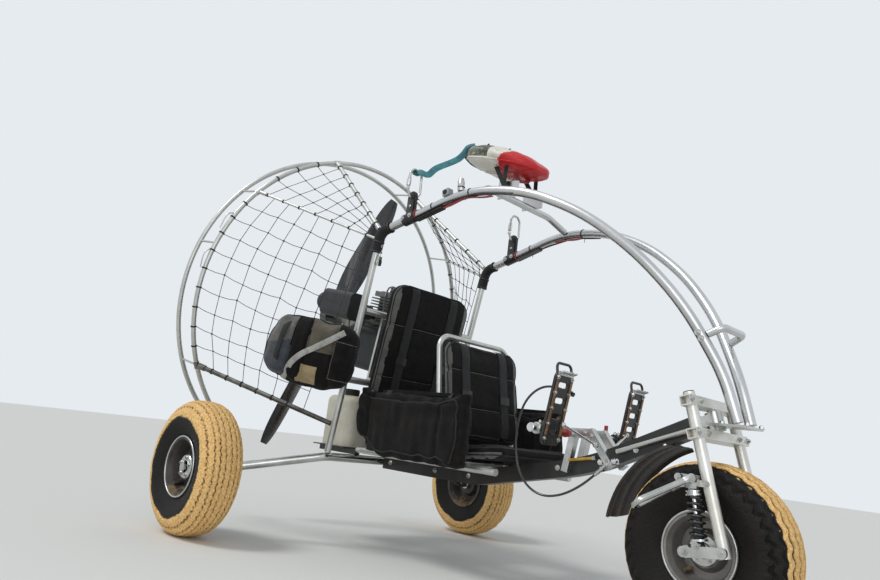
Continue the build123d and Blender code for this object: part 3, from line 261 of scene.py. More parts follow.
looks = {
    # bent aluminium tube, brushed by handling: soft long highlights with fine scratches along it
    "brushedAluminium": look("#cfd0cf", "#bfc0c0", 0.2, (0.27, 0.33), 0.006, 0.03, metallic=1,
                             stretch=(1, 0.25, 1)),
    # stainless tube, polished by boots and grass: sharp long highlights
    "polishedTube": look("#c9c9c7", "#a9a9a6", 0.09, (0.14, 0.24), 0.006, 0.03, metallic=1,
                         wear=("#6b675f", 0.03, 0.20, 0.6)),
    # thin steel tube, plated and dulled outdoors: paler and flatter than the arcs
    "dullTube": look("#cccdc9", "#b6b7b2", 0.12, (0.3, 0.4), 0.006, 0.05, metallic=0.85,
                     wear=("#7d776c", 0.03, 0.17, 0.7)),
    # lower struts: the same tube, painted darker as the dark surroundings that it reflects
    "dullTubeDarkReflection": look("#7d7c78", "#56544f", 0.06, (0.24, 0.4), 0.006, 0.05, metallic=0.9),
    # fork leg tube, cream enamel with grey wear
    "wornCream": look("#e2e1dc", "#cfccc2", 0.09, (0.30, 0.33), 0.005, 0.02, metallic=0.6, coat=0.2,
                      wear=("#8f887b", 0.03, 0.24, 0.4)),
    # steel section in satin black powder coat: fine orange peel and dust
    "powderBlack": look("#1f1f20", "#2c2a28", 0.06, (0.3, 0.46), 0.0025, 0.25, mud=("#94784f", 0.2),
                        wear=("#77736b", 0.022, 0.17, 0.5)),
    # zinc-plated steel fittings: bright grey with a clouded shine
    "zincPlate": look("#cdcecb", "#b5b6b2", 0.05, (0.24, 0.36), 0.004, 0.05, metallic=1),
    # pressed aluminium wheel dish, oxidised grey and dusty
    "wheelGrey": look("#8f8c88", "#77736e", 0.06, (0.36, 0.5), 0.005, 0.1, metallic=0.5, mud=("#9c8762", 0.12)),
    # the rear dishes, the same pressing painted darker as the shade deep in the tyre
    "wheelGreyPaintedShade": look("#4a4744", "#36332f", 0.06, (0.45, 0.62), 0.005, 0.15, metallic=0.3, mud=("#8f7650", 0.2)),
    # polyethylene mudguard sheet, brown-black with dried mud
    "guardPlastic": look("#231f1d", "#312a25", 0.06, (0.42, 0.62), 0.006, 0.25,
                         wear=("#5a4a38", 0.03, 0.12, 0.9)),
    # closed-cell foam sleeve, matt black with a fine pitted skin
    "foamBlack": look("#141414", "#1f1e1d", 0.02, (0.8, 0.95), 0.002, 0.8),
    # cast aluminium crankcase and cylinder, sand-cast grain
    "castAluminium": look("#84847f", "#6b6a66", 0.03, (0.42, 0.62), 0.002, 0.5, metallic=0.85),
    # heat-proof black paint on the engine's covers
    "engineBlack": look("#1d1d1e", "#2a2a2a", 0.03, (0.45, 0.65), 0.002, 0.4),
    # mild steel exhaust, blued and rusted by heat
    "hotSteel": look("#5a4f47", "#3c3634", 0.05, (0.4, 0.62), 0.004, 0.25, metallic=0.7,
                     wear=("#7b4a2d", 0.03, 0.06, 0.85)),
    # carbon and epoxy blade, satin dark with a faint lengthwise grain
    "bladeCarbon": look("#1b1b1d", "#28282a", 0.05, (0.22, 0.36), 0.002, 0.15, stretch=(1, 1, 0.2), coat=0.5),
    # rotomoulded polyethylene tank, milky with a slight wax look
    "tankPoly": look("#d8d5c6", "#c6c1ad", 0.07, (0.42, 0.55), 0.006, 0.15),
    # moulded black plastic and rubber, slightly dusty
    "mouldedBlack": look("#1a1a1a", "#282726", 0.03, (0.45, 0.7), 0.002, 0.4, mud=("#7d6747", 0.3)),
    # heavy nylon pack cloth with a polyurethane back: matt black, visible threads
    "packNylon": duck("#0c0c0d", "#1a1715", 0.06, (0.75, 0.92), weave=0.0016, sheen=0.05, specular=0.15),
    # bridle leather flap, tan and scuffed
    "tanLeather": look("#8d6b4c", "#6f5139", 0.04, (0.45, 0.65), 0.003, 0.4, wear=("#b49a7c", 0.02, 0.12, 0.8)),
    # taupe, tan and blue-grey cloth panels of the stowage bag
    "taupeDuck": duck("#5d564a", "#494337"),
    "tanDuck": duck("#b29d78", "#94815f", 0.04),
    "blueGreyCloth": duck("#3a4049", "#2b3038", rough=(0.6, 0.8), weave=0.0016),
    # grey pack cloth panel
    "greyCordura": duck("#6a6a66", "#52524f", rough=(0.75, 0.92), grain=0.008, weave=0.0016),
    # polyester webbing, tightly woven with a low sheen
    "redWebbing": webbing("#b3191c", "#8c1215"),
    "tealWebbing": webbing("#3f8f98", "#2c6d78"),
    "blackWebbing": webbing("#131314", "#1f1f20", (0.6, 0.8), 0.1, specular=0.3),
    "paleWebbing": webbing("#b9b9b2", "#95958f"),
    # braided polyester net cord, dark and weathered
    "netCord": look("#3a3a38", "#23231f", 0.05, (0.7, 0.9), 0.0015, 0.6),
    # anodised small parts in bronze
    "bronzeAnodised": look("#8e6c43", "#6f5231", 0.01, (0.3, 0.5), 0.002, 0.2, metallic=0.9),
    # yellow enamelled rod and red enamelled fittings
    "yellowEnamel": look("#cba534", "#a98528", 0.02, (0.3, 0.5), 0.004, 0.2, wear=("#6d6a63", 0.01, 0.14, 0.5)),
    "redEnamel": look("#b1262a", "#8f1c20", 0.02, (0.3, 0.45), 0.004, 0.2, coat=0.3),
    # black PVC sheath over a steel cable: smooth with sharp highlights
    "cableSheath": look("#121213", "#1d1d1e", 0.03, (0.16, 0.28), 0.003, 0.1, coat=0.6),
    # clear fuel hose gone amber
    "fuelHose": look("#9c7a3e", "#7f6231", 0.03, (0.2, 0.32), 0.004, 0.1, coat=0.4),
    # grey moulded polycarbonate case
    "greyCase": look("#9da0a3", "#83868a", 0.03, (0.3, 0.45), 0.002, 0.2),
    # chromed damper rings and rods
    "chrome": look("#dcdcdc", "#c8c8c8", 0.02, (0.06, 0.16), 0.003, 0.05, metallic=1),
    # spring wire in gloss black enamel
    "springBlack": look("#111112", "#1d1c1b", 0.02, (0.14, 0.3), 0.003, 0.15, coat=0.6, mud=("#8c7045", 0.3)),
}
finishes = {name: makeFinish(name, settings) for name, settings in looks.items()}


def makeTyreRubber():
    # natural-rubber compound caked with dried ochre mud: the mesh's own values say where mud and grooves lie,
    # and the grooves are painted darker as shade
    material, tree, shader, place = startMaterial("muddyRubber", {"Metallic": 0, "Specular IOR Level": 0.22})
    # the mud attribute also carries the painted shade in the grooves
    mudAndGrooveShadeValue = addNode(tree, "ShaderNodeAttribute", {"attribute_name": "mud"}).outputs["Fac"]
    groove = addNode(tree, "ShaderNodeAttribute", {"attribute_name": "groove"}).outputs["Fac"]
    clods = noiseOn(tree, place, 170, 8, 0.7)
    edged = maths(tree, "ADD", mudAndGrooveShadeValue, maths(tree, "MULTIPLY_ADD", clods, 0.5, -0.25))
    mudAndGrooveShadeMix = remap(tree, edged, 0.42, 0.56)
    rubber = mixed(tree, noiseOn(tree, place, 14, 5), "#090808", "#201c19")
    mud = mixed(tree, remap(tree, clods, 0.38, 0.6), "#d3a15c", "#fcd697")
    # painted shade: the mud in the grooves is mixed towards a darker brown
    colour = mixed(tree, mudAndGrooveShadeMix, rubber, mixed(tree, groove, mud, "#6b4826"))
    cakes = addNode(tree, "ShaderNodeTexVoronoi", {"Scale": 240}, {"Vector": place}).outputs["Distance"]
    dress(tree, shader, colour=colour, rough=remap(tree, mudAndGrooveShadeMix, 0, 1, 0.6, 0.96),
          bump=bumped(tree, 0.8, 0.0022, maths(tree, "MULTIPLY_ADD", cakes, 0.8, clods)))
    return material


def makeContainerCloth():
    # coated ripstop shell: cream top, red nose with a ragged worn border, darker red below
    material, tree, shader, place = startMaterial("containerCloth", {"Metallic": 0, "Coat Weight": 0.15})
    low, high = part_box("container")
    middle = (low + high) / 2
    shape = addNode(tree, "ShaderNodeSeparateXYZ", None, {"Vector": place}).outputs
    wobble = maths(tree, "MULTIPLY_ADD", noiseOn(tree, place, 60, 8, 0.7), 0.09, -0.045)
    along = maths(tree, "ADD", maths(tree, "MULTIPLY_ADD", shape["Z"], 1.6, shape["Y"]), wobble)
    border = low.y + 0.385 * (high.y - low.y) + 1.6 * middle.z
    noseShare = remap(tree, along, border + 0.004, border - 0.004)
    slope = math.tan(math.radians(14))
    level = maths(tree, "ADD", shape["Z"], maths(tree, "MULTIPLY_ADD", shape["Y"], -slope, 0))
    seam = middle.z - slope * middle.y
    belly = remap(tree, level, seam - 0.026, seam - 0.034)
    grime = noiseOn(tree, place, 22, 7, 0.7)
    cream, red = mixed(tree, grime, "#efece4", "#c9c2b2"), mixed(tree, grime, "#d4161f", "#b30f18")
    top = mixed(tree, noseShare, cream, red)
    dress(tree, shader, colour=mixed(tree, belly, top, "#7a141b"), rough=remap(tree, grime, 0, 1, 0.35, 0.6),
          bump=bumped(tree, 0.5, 0.003, noiseOn(tree, place, 30, 3, warp=1.5)))
    return material


def makeCamoCloth():
    # printed rain cover, grey-green with dark and pale blots, crumpled
    settings = {"Metallic": 0, "Roughness": 0.85, "Sheen Weight": 0.2}
    material, tree, shader, place = startMaterial("camoCloth", settings)
    colour = "#6f7062"
    for tone, scale, edge in (("#454840", 26, 0.52), ("#a9a893", 34, 0.58), ("#2c2e2a", 48, 0.60)):
        blots = noiseOn(tree, place, scale, 3, warp=1.2)
        colour = mixed(tree, remap(tree, blots, edge, edge + 0.02), colour, tone)
    dress(tree, shader, colour=colour, bump=bumped(tree, 0.6, 0.003, noiseOn(tree, place, 60, 4, warp=1.0)))
    return material


finishes["camoCloth"] = makeCamoCloth()
finishes["muddyRubber"] = makeTyreRubber()
finishes["containerCloth"] = makeContainerCloth()
print("materials made:", len(finishes))

# finishes for the CAD nodes that stay
nodeFinish = {
    "brushedAluminium": ["arc_right", "arc_left", "arc_link", "cross_tube"],
    "dullTube": ["cage_hoops", "cage_ends", "cage_struts", "rear_legs", "head_braces", "engine_carrier",
                 "seat_frame"],
    "wornCream": ["fork"],
    # low struts: the dull tube painted darker as reflection
    "dullTubeDarkReflection": ["low_struts"],
    "powderBlack": ["keel", "tank_tray", "hang_brackets", "hang_rails", "pedals"],
    "zincPlate": ["steering_head", "suspension_links", "front_axle", "pedal_bracket", "carabiners"],
    "polishedTube": ["foot_loops", "rear_axle"],
    "wheelGrey": ["front_rim"],
    # rear dishes: the grey dish painted darker as shade
    "wheelGreyPaintedShade": ["rear_right_rim", "rear_left_rim"],
    "foamBlack": ["corner_pads"],
    "castAluminium": ["cylinder", "reduction_housing"],
    "engineBlack": ["crankcase", "intake"],
    "hotSteel": ["exhaust"],
    "bladeCarbon": ["propeller"],
    "tankPoly": ["fuel_tank"],
    "guardPlastic": ["mudguard"],
    "packNylon": ["side_panniers", "rear_seat", "front_seat", "rear_seat_back", "front_seat_back"],
    "greyCordura": ["stowage_bag"],
    "netCord": ["net_right", "net_left"],
    "springBlack": ["shocks"],
    "containerCloth": ["container"],
    "muddyRubber": ["front_tyre", "rear_right_tyre", "rear_left_tyre"],
}
for finish, nodes in nodeFinish.items():
    for node in nodes:
        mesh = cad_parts[node].data
        mesh.materials.clear()
        mesh.materials.append(finishes[finish])

# floor
floorSize = 14
floorMesh = bpy.data.meshes.new("studioFloor")
floorMesh.from_pydata([(-floorSize, -floorSize, 0), (floorSize, -floorSize, 0), (floorSize, floorSize, 0),
                       (-floorSize, floorSize, 0)], [], [(0, 1, 2, 3)])
floorMaterial, _, floorShader, _ = startMaterial("paleFloor", {"Roughness": 0.9})
floorShader.inputs["Base Color"].default_value = toLinear(studio["floor"])
floorMesh.materials.append(floorMaterial)
studioFloor = bpy.data.objects.new("studioFloor", floorMesh)
link(studioFloor)
print("floor and node finishes set")

# mesh helpers
def newPiece(name, points, faces=(), finish=None, edges=()):
    mesh = bpy.data.meshes.new(name)
    mesh.from_pydata([tuple(p) for p in points], list(edges), [tuple(f) for f in faces])
    mesh.update()
    if finish:
        mesh.materials.append(finishes[finish])
    return link(bpy.data.objects.new(name, mesh))


def shapedMesh(item):  # the mesh that an object's curve or modifiers give
    bpy.context.view_layer.update()
    return bpy.data.meshes.new_from_object(item.evaluated_get(bpy.context.evaluated_depsgraph_get()))


def applyModifiers(piece):
    mesh = shapedMesh(piece)
    piece.modifiers.clear()
    piece.data = mesh
    return piece


def addWall(piece, thickness):
    wall = piece.modifiers.new("wall", "SOLIDIFY")
    wall.thickness = thickness
    wall.offset = 0


def addFine(piece):
    fine = piece.modifiers.new("fine", "SUBSURF")
    fine.levels = fine.render_levels = 1


def faceOutwards(mesh):
    work = bmesh.new()
    work.from_mesh(mesh)
    bmesh.ops.recalc_face_normals(work, faces=work.faces)
    work.to_mesh(mesh)
    mesh.shade_smooth()
    return work


def closeUp(piece, sharpAngle=38):  # merges doubles, turns faces outwards and keeps crisp edges crisp
    work = bmesh.new()
    work.from_mesh(piece.data)
    bmesh.ops.remove_doubles(work, verts=work.verts, dist=0.00002)
    bmesh.ops.dissolve_degenerate(work, edges=work.edges, dist=0.00001)
    bmesh.ops.recalc_face_normals(work, faces=work.faces)
    work.to_mesh(piece.data)
    work.free()
    piece.data.shade_smooth()
    piece.data.set_sharp_from_angle(angle=math.radians(sharpAngle))
    return piece


def settle(piece, body, slotName, *nodes):  # hides the CAD nodes that the piece replaces and hangs the piece on its body's empty
    if nodes:
        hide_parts(*nodes)
    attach(piece, body)
    return piece


def joinPieces(name, pieces):
    work = bmesh.new()
    materials = []
    for piece in pieces:
        start = len(work.faces)
        work.from_mesh(piece.data)
        work.faces.ensure_lookup_table()
        for face in work.faces[start:]:
            material = piece.data.materials[face.material_index]
            if material not in materials:
                materials.append(material)
            face.material_index = materials.index(material)
    mesh = bpy.data.meshes.new(name)
    work.to_mesh(mesh)
    work.free()
    for material in materials:
        mesh.materials.append(material)
    for piece in pieces:
        bpy.data.objects.remove(piece)
    return link(bpy.data.objects.new(name, mesh))


def settleSet(name, pieces, *more):
    return settle(joinPieces(name, pieces), *more)


def sideways(turn):  # a direction in the vehicle's side plane
    return Vector((0, math.cos(turn), math.sin(turn)))


def turns(count, first=0):
    return [2 * math.pi * (i + first) / count for i in range(count)]


def gridFaces(columns, rows):
    width = columns + 1
    return [(row * width + i, row * width + i + 1, (row + 1) * width + i + 1, (row + 1) * width + i)
            for row in range(rows) for i in range(columns)]


def lathe(name, outline, start, axis, finish, steps=48, sharpAngle=38):  # outline of (along the axis, radius)
    axis = Vector(axis).normalized()
    outward = axis.orthogonal().normalized()
    upward = axis.cross(outward)
    count = len(outline)
    points = []
    for turn in turns(steps):
        away = outward * math.cos(turn) + upward * math.sin(turn)
        points += [Vector(start) + axis * along + away * radius for along, radius in outline]
    faces = []
    for step in range(steps):
        here, after = step * count, (step + 1) % steps * count
        faces += [(here + i, here + i + 1, after + i + 1, after + i) for i in range(count - 1)]
    return closeUp(newPiece(name, points, faces, finish), sharpAngle)


def sleeve(name, low, high, inner, outer, start, axis, finish, *more):  # a plain open tube
    outline = [(low, inner), (low, outer), (high, outer), (high, inner)]
    return lathe(name, outline, start, axis, finish, *(more or (24,)))


def bar(name, start, end, radius, finish, steps=20):  # a round rod with chamfered ends
    run = Vector(end) - Vector(start)
    edge = min(radius * 0.2, run.length * 0.2)
    outline = [(0, 0), (0, radius - edge), (edge, radius), (run.length - edge, radius),
               (run.length, radius - edge), (run.length, 0)]
    return lathe(name, outline, start, run, finish, steps)


def newCord(name, points, radius, finish, resolution, sides, closed=False):
    curve = bpy.data.curves.new(name, "CURVE")
    curve.dimensions = "3D"
    spline = curve.splines.new("NURBS")
    spline.points.add(len(points) - 1)
    for point, where in zip(spline.points, points):
        point.co = (*where, 1)
    spline.order_u = 3
    spline.use_endpoint_u = not closed
    spline.use_cyclic_u = closed
    curve.resolution_u = resolution
    curve.bevel_depth = radius
    curve.bevel_resolution = sides
    curve.materials.append(finishes[finish])
    return link(bpy.data.objects.new(name, curve))


def hose(name, points, radius, finish, resolution=6, closed=False):  # a smooth bent line with thickness
    holder = newCord(name, points, radius, finish, resolution, 3, closed)
    holder.data.use_fill_caps = not closed
    mesh = shapedMesh(holder)
    bpy.data.objects.remove(holder)
    mesh.shade_smooth()
    return link(bpy.data.objects.new(name, mesh))


def smoothRoute(points, steps=6):  # a Catmull-Rom line through the points
    line = []
    padded = [points[0] * 2 - points[1]] + list(points) + [points[-1] * 2 - points[-2]]
    for a, b, c, d in zip(padded, padded[1:], padded[2:], padded[3:]):
        for step in range(steps):
            t = step / steps
            line.append(0.5 * (2 * b + (c - a) * t + (2 * a - 5 * b + 4 * c - d) * t ** 2
                               + (3 * b - a - 3 * c + d) * t ** 3))
    return line + [points[-1]]


def strap(name, points, width, thickness, across, finish, closed=False, steps=6):  # flat webbing along a line
    line = smoothRoute(points, steps) if not closed else smoothRoute(list(points) + [points[0]], steps)[:-1]
    count = len(line)
    section = [(-0.5, 0.3), (-0.46, 0.5), (0.46, 0.5), (0.5, 0.3), (0.5, -0.3), (0.46, -0.5), (-0.46, -0.5),
               (-0.5, -0.3)]
    size = len(section)
    verts = []
    for i, point in enumerate(line):
        before = line[i - 1] if i or closed else point
        after = line[(i + 1) % count] if i < count - 1 or closed else point
        along = (after - before).normalized()
        wide = Vector(across)
        wide = (wide - along * wide.dot(along)).normalized()
        thick = along.cross(wide)
        verts += [point + wide * (x * width) + thick * (y * thickness) for x, y in section]
    faces = []
    for i in range(count if closed else count - 1):
        here, after = i * size, (i + 1) % count * size
        faces += [(here + j, here + (j + 1) % size, after + (j + 1) % size, after + j) for j in range(size)]
    if not closed:
        faces += [tuple(range(size - 1, -1, -1)), tuple(range((count - 1) * size, count * size))]
    return closeUp(newPiece(name, verts, faces, finish))


# Geometry Nodes trees
def newTree(name, **numbers):  # whole numbers make whole-number sockets
    tree = bpy.data.node_groups.new(name, "GeometryNodeTree")
    tree.interface.new_socket("Geometry", in_out="INPUT", socket_type="NodeSocketGeometry")
    for label, value in numbers.items():
        kind = "NodeSocketInt" if isinstance(value, int) else "NodeSocketFloat"
        tree.interface.new_socket(label, in_out="INPUT", socket_type=kind).default_value = value
    tree.interface.new_socket("Finish", in_out="INPUT", socket_type="NodeSocketMaterial")
    tree.interface.new_socket("Geometry", in_out="OUTPUT", socket_type="NodeSocketGeometry")
    return tree, tree.nodes.new("NodeGroupInput").outputs, tree.nodes.new("NodeGroupOutput")


def endTree(tree, given, result, geometry, smooth=True):  # every tree ends in real geometry with its finish
    real = addNode(tree, "GeometryNodeRealizeInstances", None, {"Geometry": geometry})
    shaded = addNode(tree, "GeometryNodeSetShadeSmooth", {"Shade Smooth": smooth}, {"Geometry": real.outputs[0]})
    painted = addNode(tree, "GeometryNodeSetMaterial", None,
                      {"Geometry": shaded.outputs[0], "Material": given["Finish"]})
    tree.links.new(painted.outputs[0], result.inputs[0])
    return tree


def circle(tree, radius, sides):
    ring = addNode(tree, "GeometryNodeCurvePrimitiveCircle", {"Resolution": sides}, {"Radius": radius})
    return ring.outputs[0]


def sweep(tree, line, radius, sides, caps=True):  # a round cord along a line
    return addNode(tree, "GeometryNodeCurveToMesh", {"Fill Caps": caps},
                   {"Curve": line, "Profile Curve": circle(tree, radius, sides)}).outputs[0]


def placeOn(tree, given, piece, facing=True, **more):  # a copy on every point, turned the point's way
    links = {"Points": given["Geometry"], "Instance": piece, **more}
    if facing:
        way = addNode(tree, "GeometryNodeInputNamedAttribute", {"data_type": "FLOAT_VECTOR", "Name": "facing"})
        turned = addNode(tree, "FunctionNodeAlignRotationToVector", {"axis": "Z"}, {"Vector": way.outputs[0]})
        links["Rotation"] = turned.outputs[0]
    return addNode(tree, "GeometryNodeInstanceOnPoints", None, links).outputs[0]


def makeBoltTree():  # a hexagon head, its washer and the thread's end
    tree, given, result = newTree("boltHeads", Across=0.013, Height=0.006)
    both = addNode(tree, "GeometryNodeJoinGeometry")
    for sides, share, rise in ((6, 0.577, 0.7), (20, 0.86, 0), (10, 0.27, 1.15)):
        size = {"Radius": maths(tree, "MULTIPLY", given["Across"], share)}
        if rise:
            size["Depth"] = given["Height"]
        part = addNode(tree, "GeometryNodeMeshCylinder", {"Vertices": sides, "Depth": 0.0022}, size)
        lift = addNode(tree, "ShaderNodeCombineXYZ", None, {"Z": maths(tree, "MULTIPLY", given["Height"], rise)})
        lifted = addNode(tree, "GeometryNodeTransform", None,
                         {"Geometry": part.outputs["Mesh"], "Translation": lift.outputs[0]})
        tree.links.new(lifted.outputs[0], both.inputs[0])
    return endTree(tree, given, result, placeOn(tree, given, both.outputs[0]), smooth=False)


def makeCordTree():  # a round cord along every edge line of the mesh
    tree, given, result = newTree("cordLines", Diameter=0.003)
    lines = addNode(tree, "GeometryNodeMeshToCurve", None, {"Mesh": given["Geometry"]})
    half = maths(tree, "MULTIPLY", given["Diameter"], 0.5)
    return endTree(tree, given, result, sweep(tree, lines.outputs[0], half, 6))


def makeKnotTree():  # small uneven knots, their sizes from a fixed seed
    tree, given, result = newTree("netKnots", Size=0.004, Seed=3)
    knot = addNode(tree, "GeometryNodeMeshIcoSphere", {"Subdivisions": 1}, {"Radius": given["Size"]})
    sizes = addNode(tree, "FunctionNodeRandomValue", {"data_type": "FLOAT_VECTOR", 0: (0.7, 0.7, 0.7),
                                                      1: (1.4, 1.1, 1.4)}, {"Seed": given["Seed"]})
    return endTree(tree, given, result,
                   placeOn(tree, given, knot.outputs["Mesh"], facing=False, Scale=sizes.outputs[0]))


def makeSpringTree():  # a wire helix standing on each point
    tree, given, result = newTree("coilSprings", Turns=6.0, Radius=0.019, Wire=0.0035, Height=0.09)
    helix = addNode(tree, "GeometryNodeCurveSpiral", {"Resolution": 24},
                    {"Rotations": given["Turns"], "Start Radius": given["Radius"],
                     "End Radius": given["Radius"], "Height": given["Height"]})
    return endTree(tree, given, result, placeOn(tree, given, sweep(tree, helix.outputs[0], given["Wire"], 10)))


def makeWrapTree():  # cord or tape wound round a tube: rings facing along the tube
    tree, given, result = newTree("tieWraps", Radius=0.012, Cord=0.0015, Stretch=2.0)
    swept = sweep(tree, circle(tree, given["Radius"], 20), given["Cord"], 6, caps=False)
    tall = addNode(tree, "ShaderNodeCombineXYZ", {"X": 1, "Y": 1}, {"Z": given["Stretch"]})
    return endTree(tree, given, result, placeOn(tree, given, swept, Scale=tall.outputs[0]))


def makeStitchTree():  # short thread stitches
    tree, given, result = newTree("seamStitches", Length=0.0042, Thread=0.0006)
    stitch = addNode(tree, "GeometryNodeMeshCylinder", {"Vertices": 5},
                     {"Radius": given["Thread"], "Depth": given["Length"]})
    return endTree(tree, given, result, placeOn(tree, given, stitch.outputs["Mesh"]))


trees = {"bolt": makeBoltTree(), "cord": makeCordTree(), "knot": makeKnotTree(), "spring": makeSpringTree(),
         "wrap": makeWrapTree(), "stitch": makeStitchTree()}


def runTree(piece, kind, finish, values):
    modifier = piece.modifiers.new("shape", "NODES")
    modifier.node_group = trees[kind]
    values = {**values, "Finish": finishes[finish]}
    for item in trees[kind].interface.items_tree:
        if item.item_type == "SOCKET" and item.in_out == "INPUT" and item.name in values:
            modifier[item.identifier] = values[item.name]
    return applyModifiers(piece)


def onPoints(name, kind, places, values, finish):  # places of (point, direction)
    piece = newPiece(name, [point for point, facing in places])
    facing = piece.data.attributes.new("facing", "FLOAT_VECTOR", "POINT")
    for i, (point, direction) in enumerate(places):
        facing.data[i].vector = Vector(direction).normalized()
    return runTree(piece, kind, finish, values)


def alongEdges(name, lines, diameter, finish):  # lines of points, each a cord
    points, edges = [], []
    for line in lines:
        start = len(points)
        points += line
        edges += [(start + i, start + i + 1) for i in range(len(line) - 1)]
    return runTree(newPiece(name, points, edges=edges), "cord", finish, {"Diameter": diameter})


def bolts(name, places, across, height):
    return onPoints(name, "bolt", places, {"Across": across, "Height": height}, "zincPlate")


def ties(name, places, radius, cord, stretch, finish):
    return onPoints(name, "wrap", places, {"Radius": radius, "Cord": cord, "Stretch": stretch}, finish)


print("helpers and trees ready")

# tyres: a polar grid whose radius follows the ribs and grooves
tyreShape = {
    "around": 432,
    "acrossTread": 84,
    "acrossWall": 9,
    "rimRadius": 0.0938,
    "seatHalf": 0.355,  # bead seat as a share of the width
    "shoulder": 0.975,  # where the tread ends, as a share of the half width
    "shoulderDrop": 0.046,
    "fadeLow": 0.66,  # where mud on the wall starts and is full, as shares of the tyre's radius
    "fadeHigh": 0.80,
    "squareness": 3.1,
}
tyreTread = {
    # grooves as shares of the tread's half width from right to left, waves round the tyre, sway, width and depth
    # in metres, how much the wave is a zigzag, where the mud starts and is full as shares of the half width, mud
    # on the wall, and how far clods fill the grooves
    "front_tyre": {"grooves": (-0.88, -0.62, -0.34, 0.0, 0.34, 0.62, 0.88), "waves": 35, "sway": 0.0044,
                   "wide": 0.0062, "deep": 0.0080, "sharp": 0.2, "mud": (-0.78, -0.50), "wallMud": 0.0,
                   "wallFade": 0.15, "broken": 0},
    "rear_right_tyre": {"grooves": (-0.82, -0.56, -0.34, -0.12, 0.12, 0.34, 0.56, 0.82), "waves": 60,
                        "sway": 0.0019,
                        "wide": 0.0030, "deep": 0.0042, "sharp": 0.85, "mud": (-1.5, -1.05), "wallMud": 0.10,
                        "wallFade": 0.66, "broken": 0.75},
}
tyreTread["rear_left_tyre"] = tyreTread["rear_right_tyre"]


def clamp(value):
    return max(0, min(1, value))


def treadRadius(share, outer):  # a flat crown that rounds off into the shoulder
    return outer - tyreShape["shoulderDrop"] * abs(share) ** tyreShape["squareness"]


def tyreSection(half, outer):  # points of (across, radius, place in the tread or None), from bead to bead
    edge = tyreShape["shoulder"] * half
    seat = tyreShape["seatHalf"] * 2 * half
    lip = tyreShape["rimRadius"] + 0.007
    low = treadRadius(1, outer)
    wall = []
    for i in range(1, tyreShape["acrossWall"]):
        share = i / tyreShape["acrossWall"]
        bulge = (half - edge) * math.sin(math.pi * min(1, share * 2.2)) if share < 0.4545 else 0
        x = edge + bulge - (edge - seat) * max(0, (share - 0.25) / 0.75) ** 1.5
        wall.append((x, low + (lip - low) * share))
    wall += [(seat, lip), (seat - 0.004, tyreShape["rimRadius"])]
    tread = []
    for i in range(tyreShape["acrossTread"] + 1):
        share = i / tyreShape["acrossTread"] * 2 - 1
        x = math.sin(share * math.pi / 2 * 0.62) / math.sin(math.pi / 2 * 0.62) * edge
        tread.append((x, treadRadius(share, outer), share))
    return [(-x, r, None) for x, r in reversed(wall)] + tread + [(x, r, None) for x, r in wall]


def grooveDepth(tread, share, half, turn):  # 0 on a rib, 1 in the bottom of a groove
    wave = math.sin(turn * tread["waves"])
    zigzag = 2 / math.pi * math.asin(wave)
    swing = tread["sway"] * (wave * (1 - tread["sharp"]) + zigzag * tread["sharp"])
    depth = 0
    for groove in tread["grooves"]:
        away = abs((share - groove) * half * 1.12 - swing) / tread["wide"]
        depth = max(depth, 1 - max(0, away - 0.45) / 0.55)
    return clamp(depth)


def makeTyre(node, body):
    low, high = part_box(node)
    centre = (low + high) / 2
    outer, half = (high.z - low.z) / 2, (high.x - low.x) / 2
    tread = tyreTread[node]
    section = tyreSection(half, outer - 0.0007)
    count, steps = len(section), tyreShape["around"]
    points, grooves, mudAndGrooveShade, faces = [], [], [], []
    mudStart, mudFull = tread["mud"]
    fadeLow, fadeHigh = tyreShape["fadeLow"], tyreShape["fadeHigh"]
    for turn in turns(steps):
        away = sideways(turn)
        swing = tread["sway"] * math.sin(turn * tread["waves"])
        for x, radius, share in section:
            depth, lumps, lean = 0, 0, Vector((0, 0, 0))
            here = Vector((x, 0, 0)) + away * radius
            if share is None:
                high = (radius / outer - fadeLow) / (fadeHigh - fadeLow)
                ragged = noise.noise(here * 30) * 0.10
                mud = tread["wallMud"] + tread["wallFade"] * (clamp(high) + ragged * clamp(high * 2))
            else:
                depth = grooveDepth(tread, share, half, turn)
                packed = noise.noise(Vector((share * 9, 0, 0)) + away * 34)  # clods in the grooves
                depth *= 1 - tread["broken"] * clamp(0.5 + packed * 2.2)
                lumps = noise.noise(here * 90) * (0.0006 + 0.0010 * tread["broken"])
                # on the shoulders the grooves sink inwards as well as towards the axle
                inwards = max(0, (abs(share) - 0.6) / 0.4)
                lean.x = -math.copysign(1, x) * depth * tread["deep"] * 0.8 * inwards
                if abs(share) > 0.97:  # the tread's edge is as wavy as its grooves
                    lean.x -= math.copysign(swing * 0.5, x) * math.copysign(1, share)
                rise = clamp((share - mudStart) / (mudFull - mudStart))
                # the mud thins in the grooves so that dark rubber shows there: painted shade in the recesses
                mud = 0.10 + 0.85 * rise - (0.80 if tread["broken"] == 0 else 0.45) * depth
            points.append(centre + Vector((x, 0, 0)) + lean + away * (radius - depth * tread["deep"] + lumps))
            grooves.append(depth)
            mudAndGrooveShade.append(clamp(mud + noise.noise(here * 16) * 0.16))
    for step in range(steps):
        here, after = step * count, (step + 1) % steps * count
        faces += [(here + i, after + i, after + (i + 1) % count, here + (i + 1) % count) for i in range(count)]
    piece = newPiece(node.replace("_tyre", "TyreTread").replace("_right", "Right").replace("_left", "Left"),
                     points, faces, "muddyRubber")
    # the mud values hold the mud less the painted shade in the grooves
    for label, values in (("groove", grooves), ("mud", mudAndGrooveShade)):
        attribute = piece.data.attributes.new(label, "FLOAT", "POINT")
        attribute.data.foreach_set("value", values)
    faceOutwards(piece.data).free()
    return settle(piece, body, "tyre", node)


for node, body in (("front_tyre", "front_wheel"), ("rear_right_tyre", "rear_wheel_right"),
                   ("rear_left_tyre", "rear_wheel_left")):
    makeTyre(node, body)
print("tyres made")

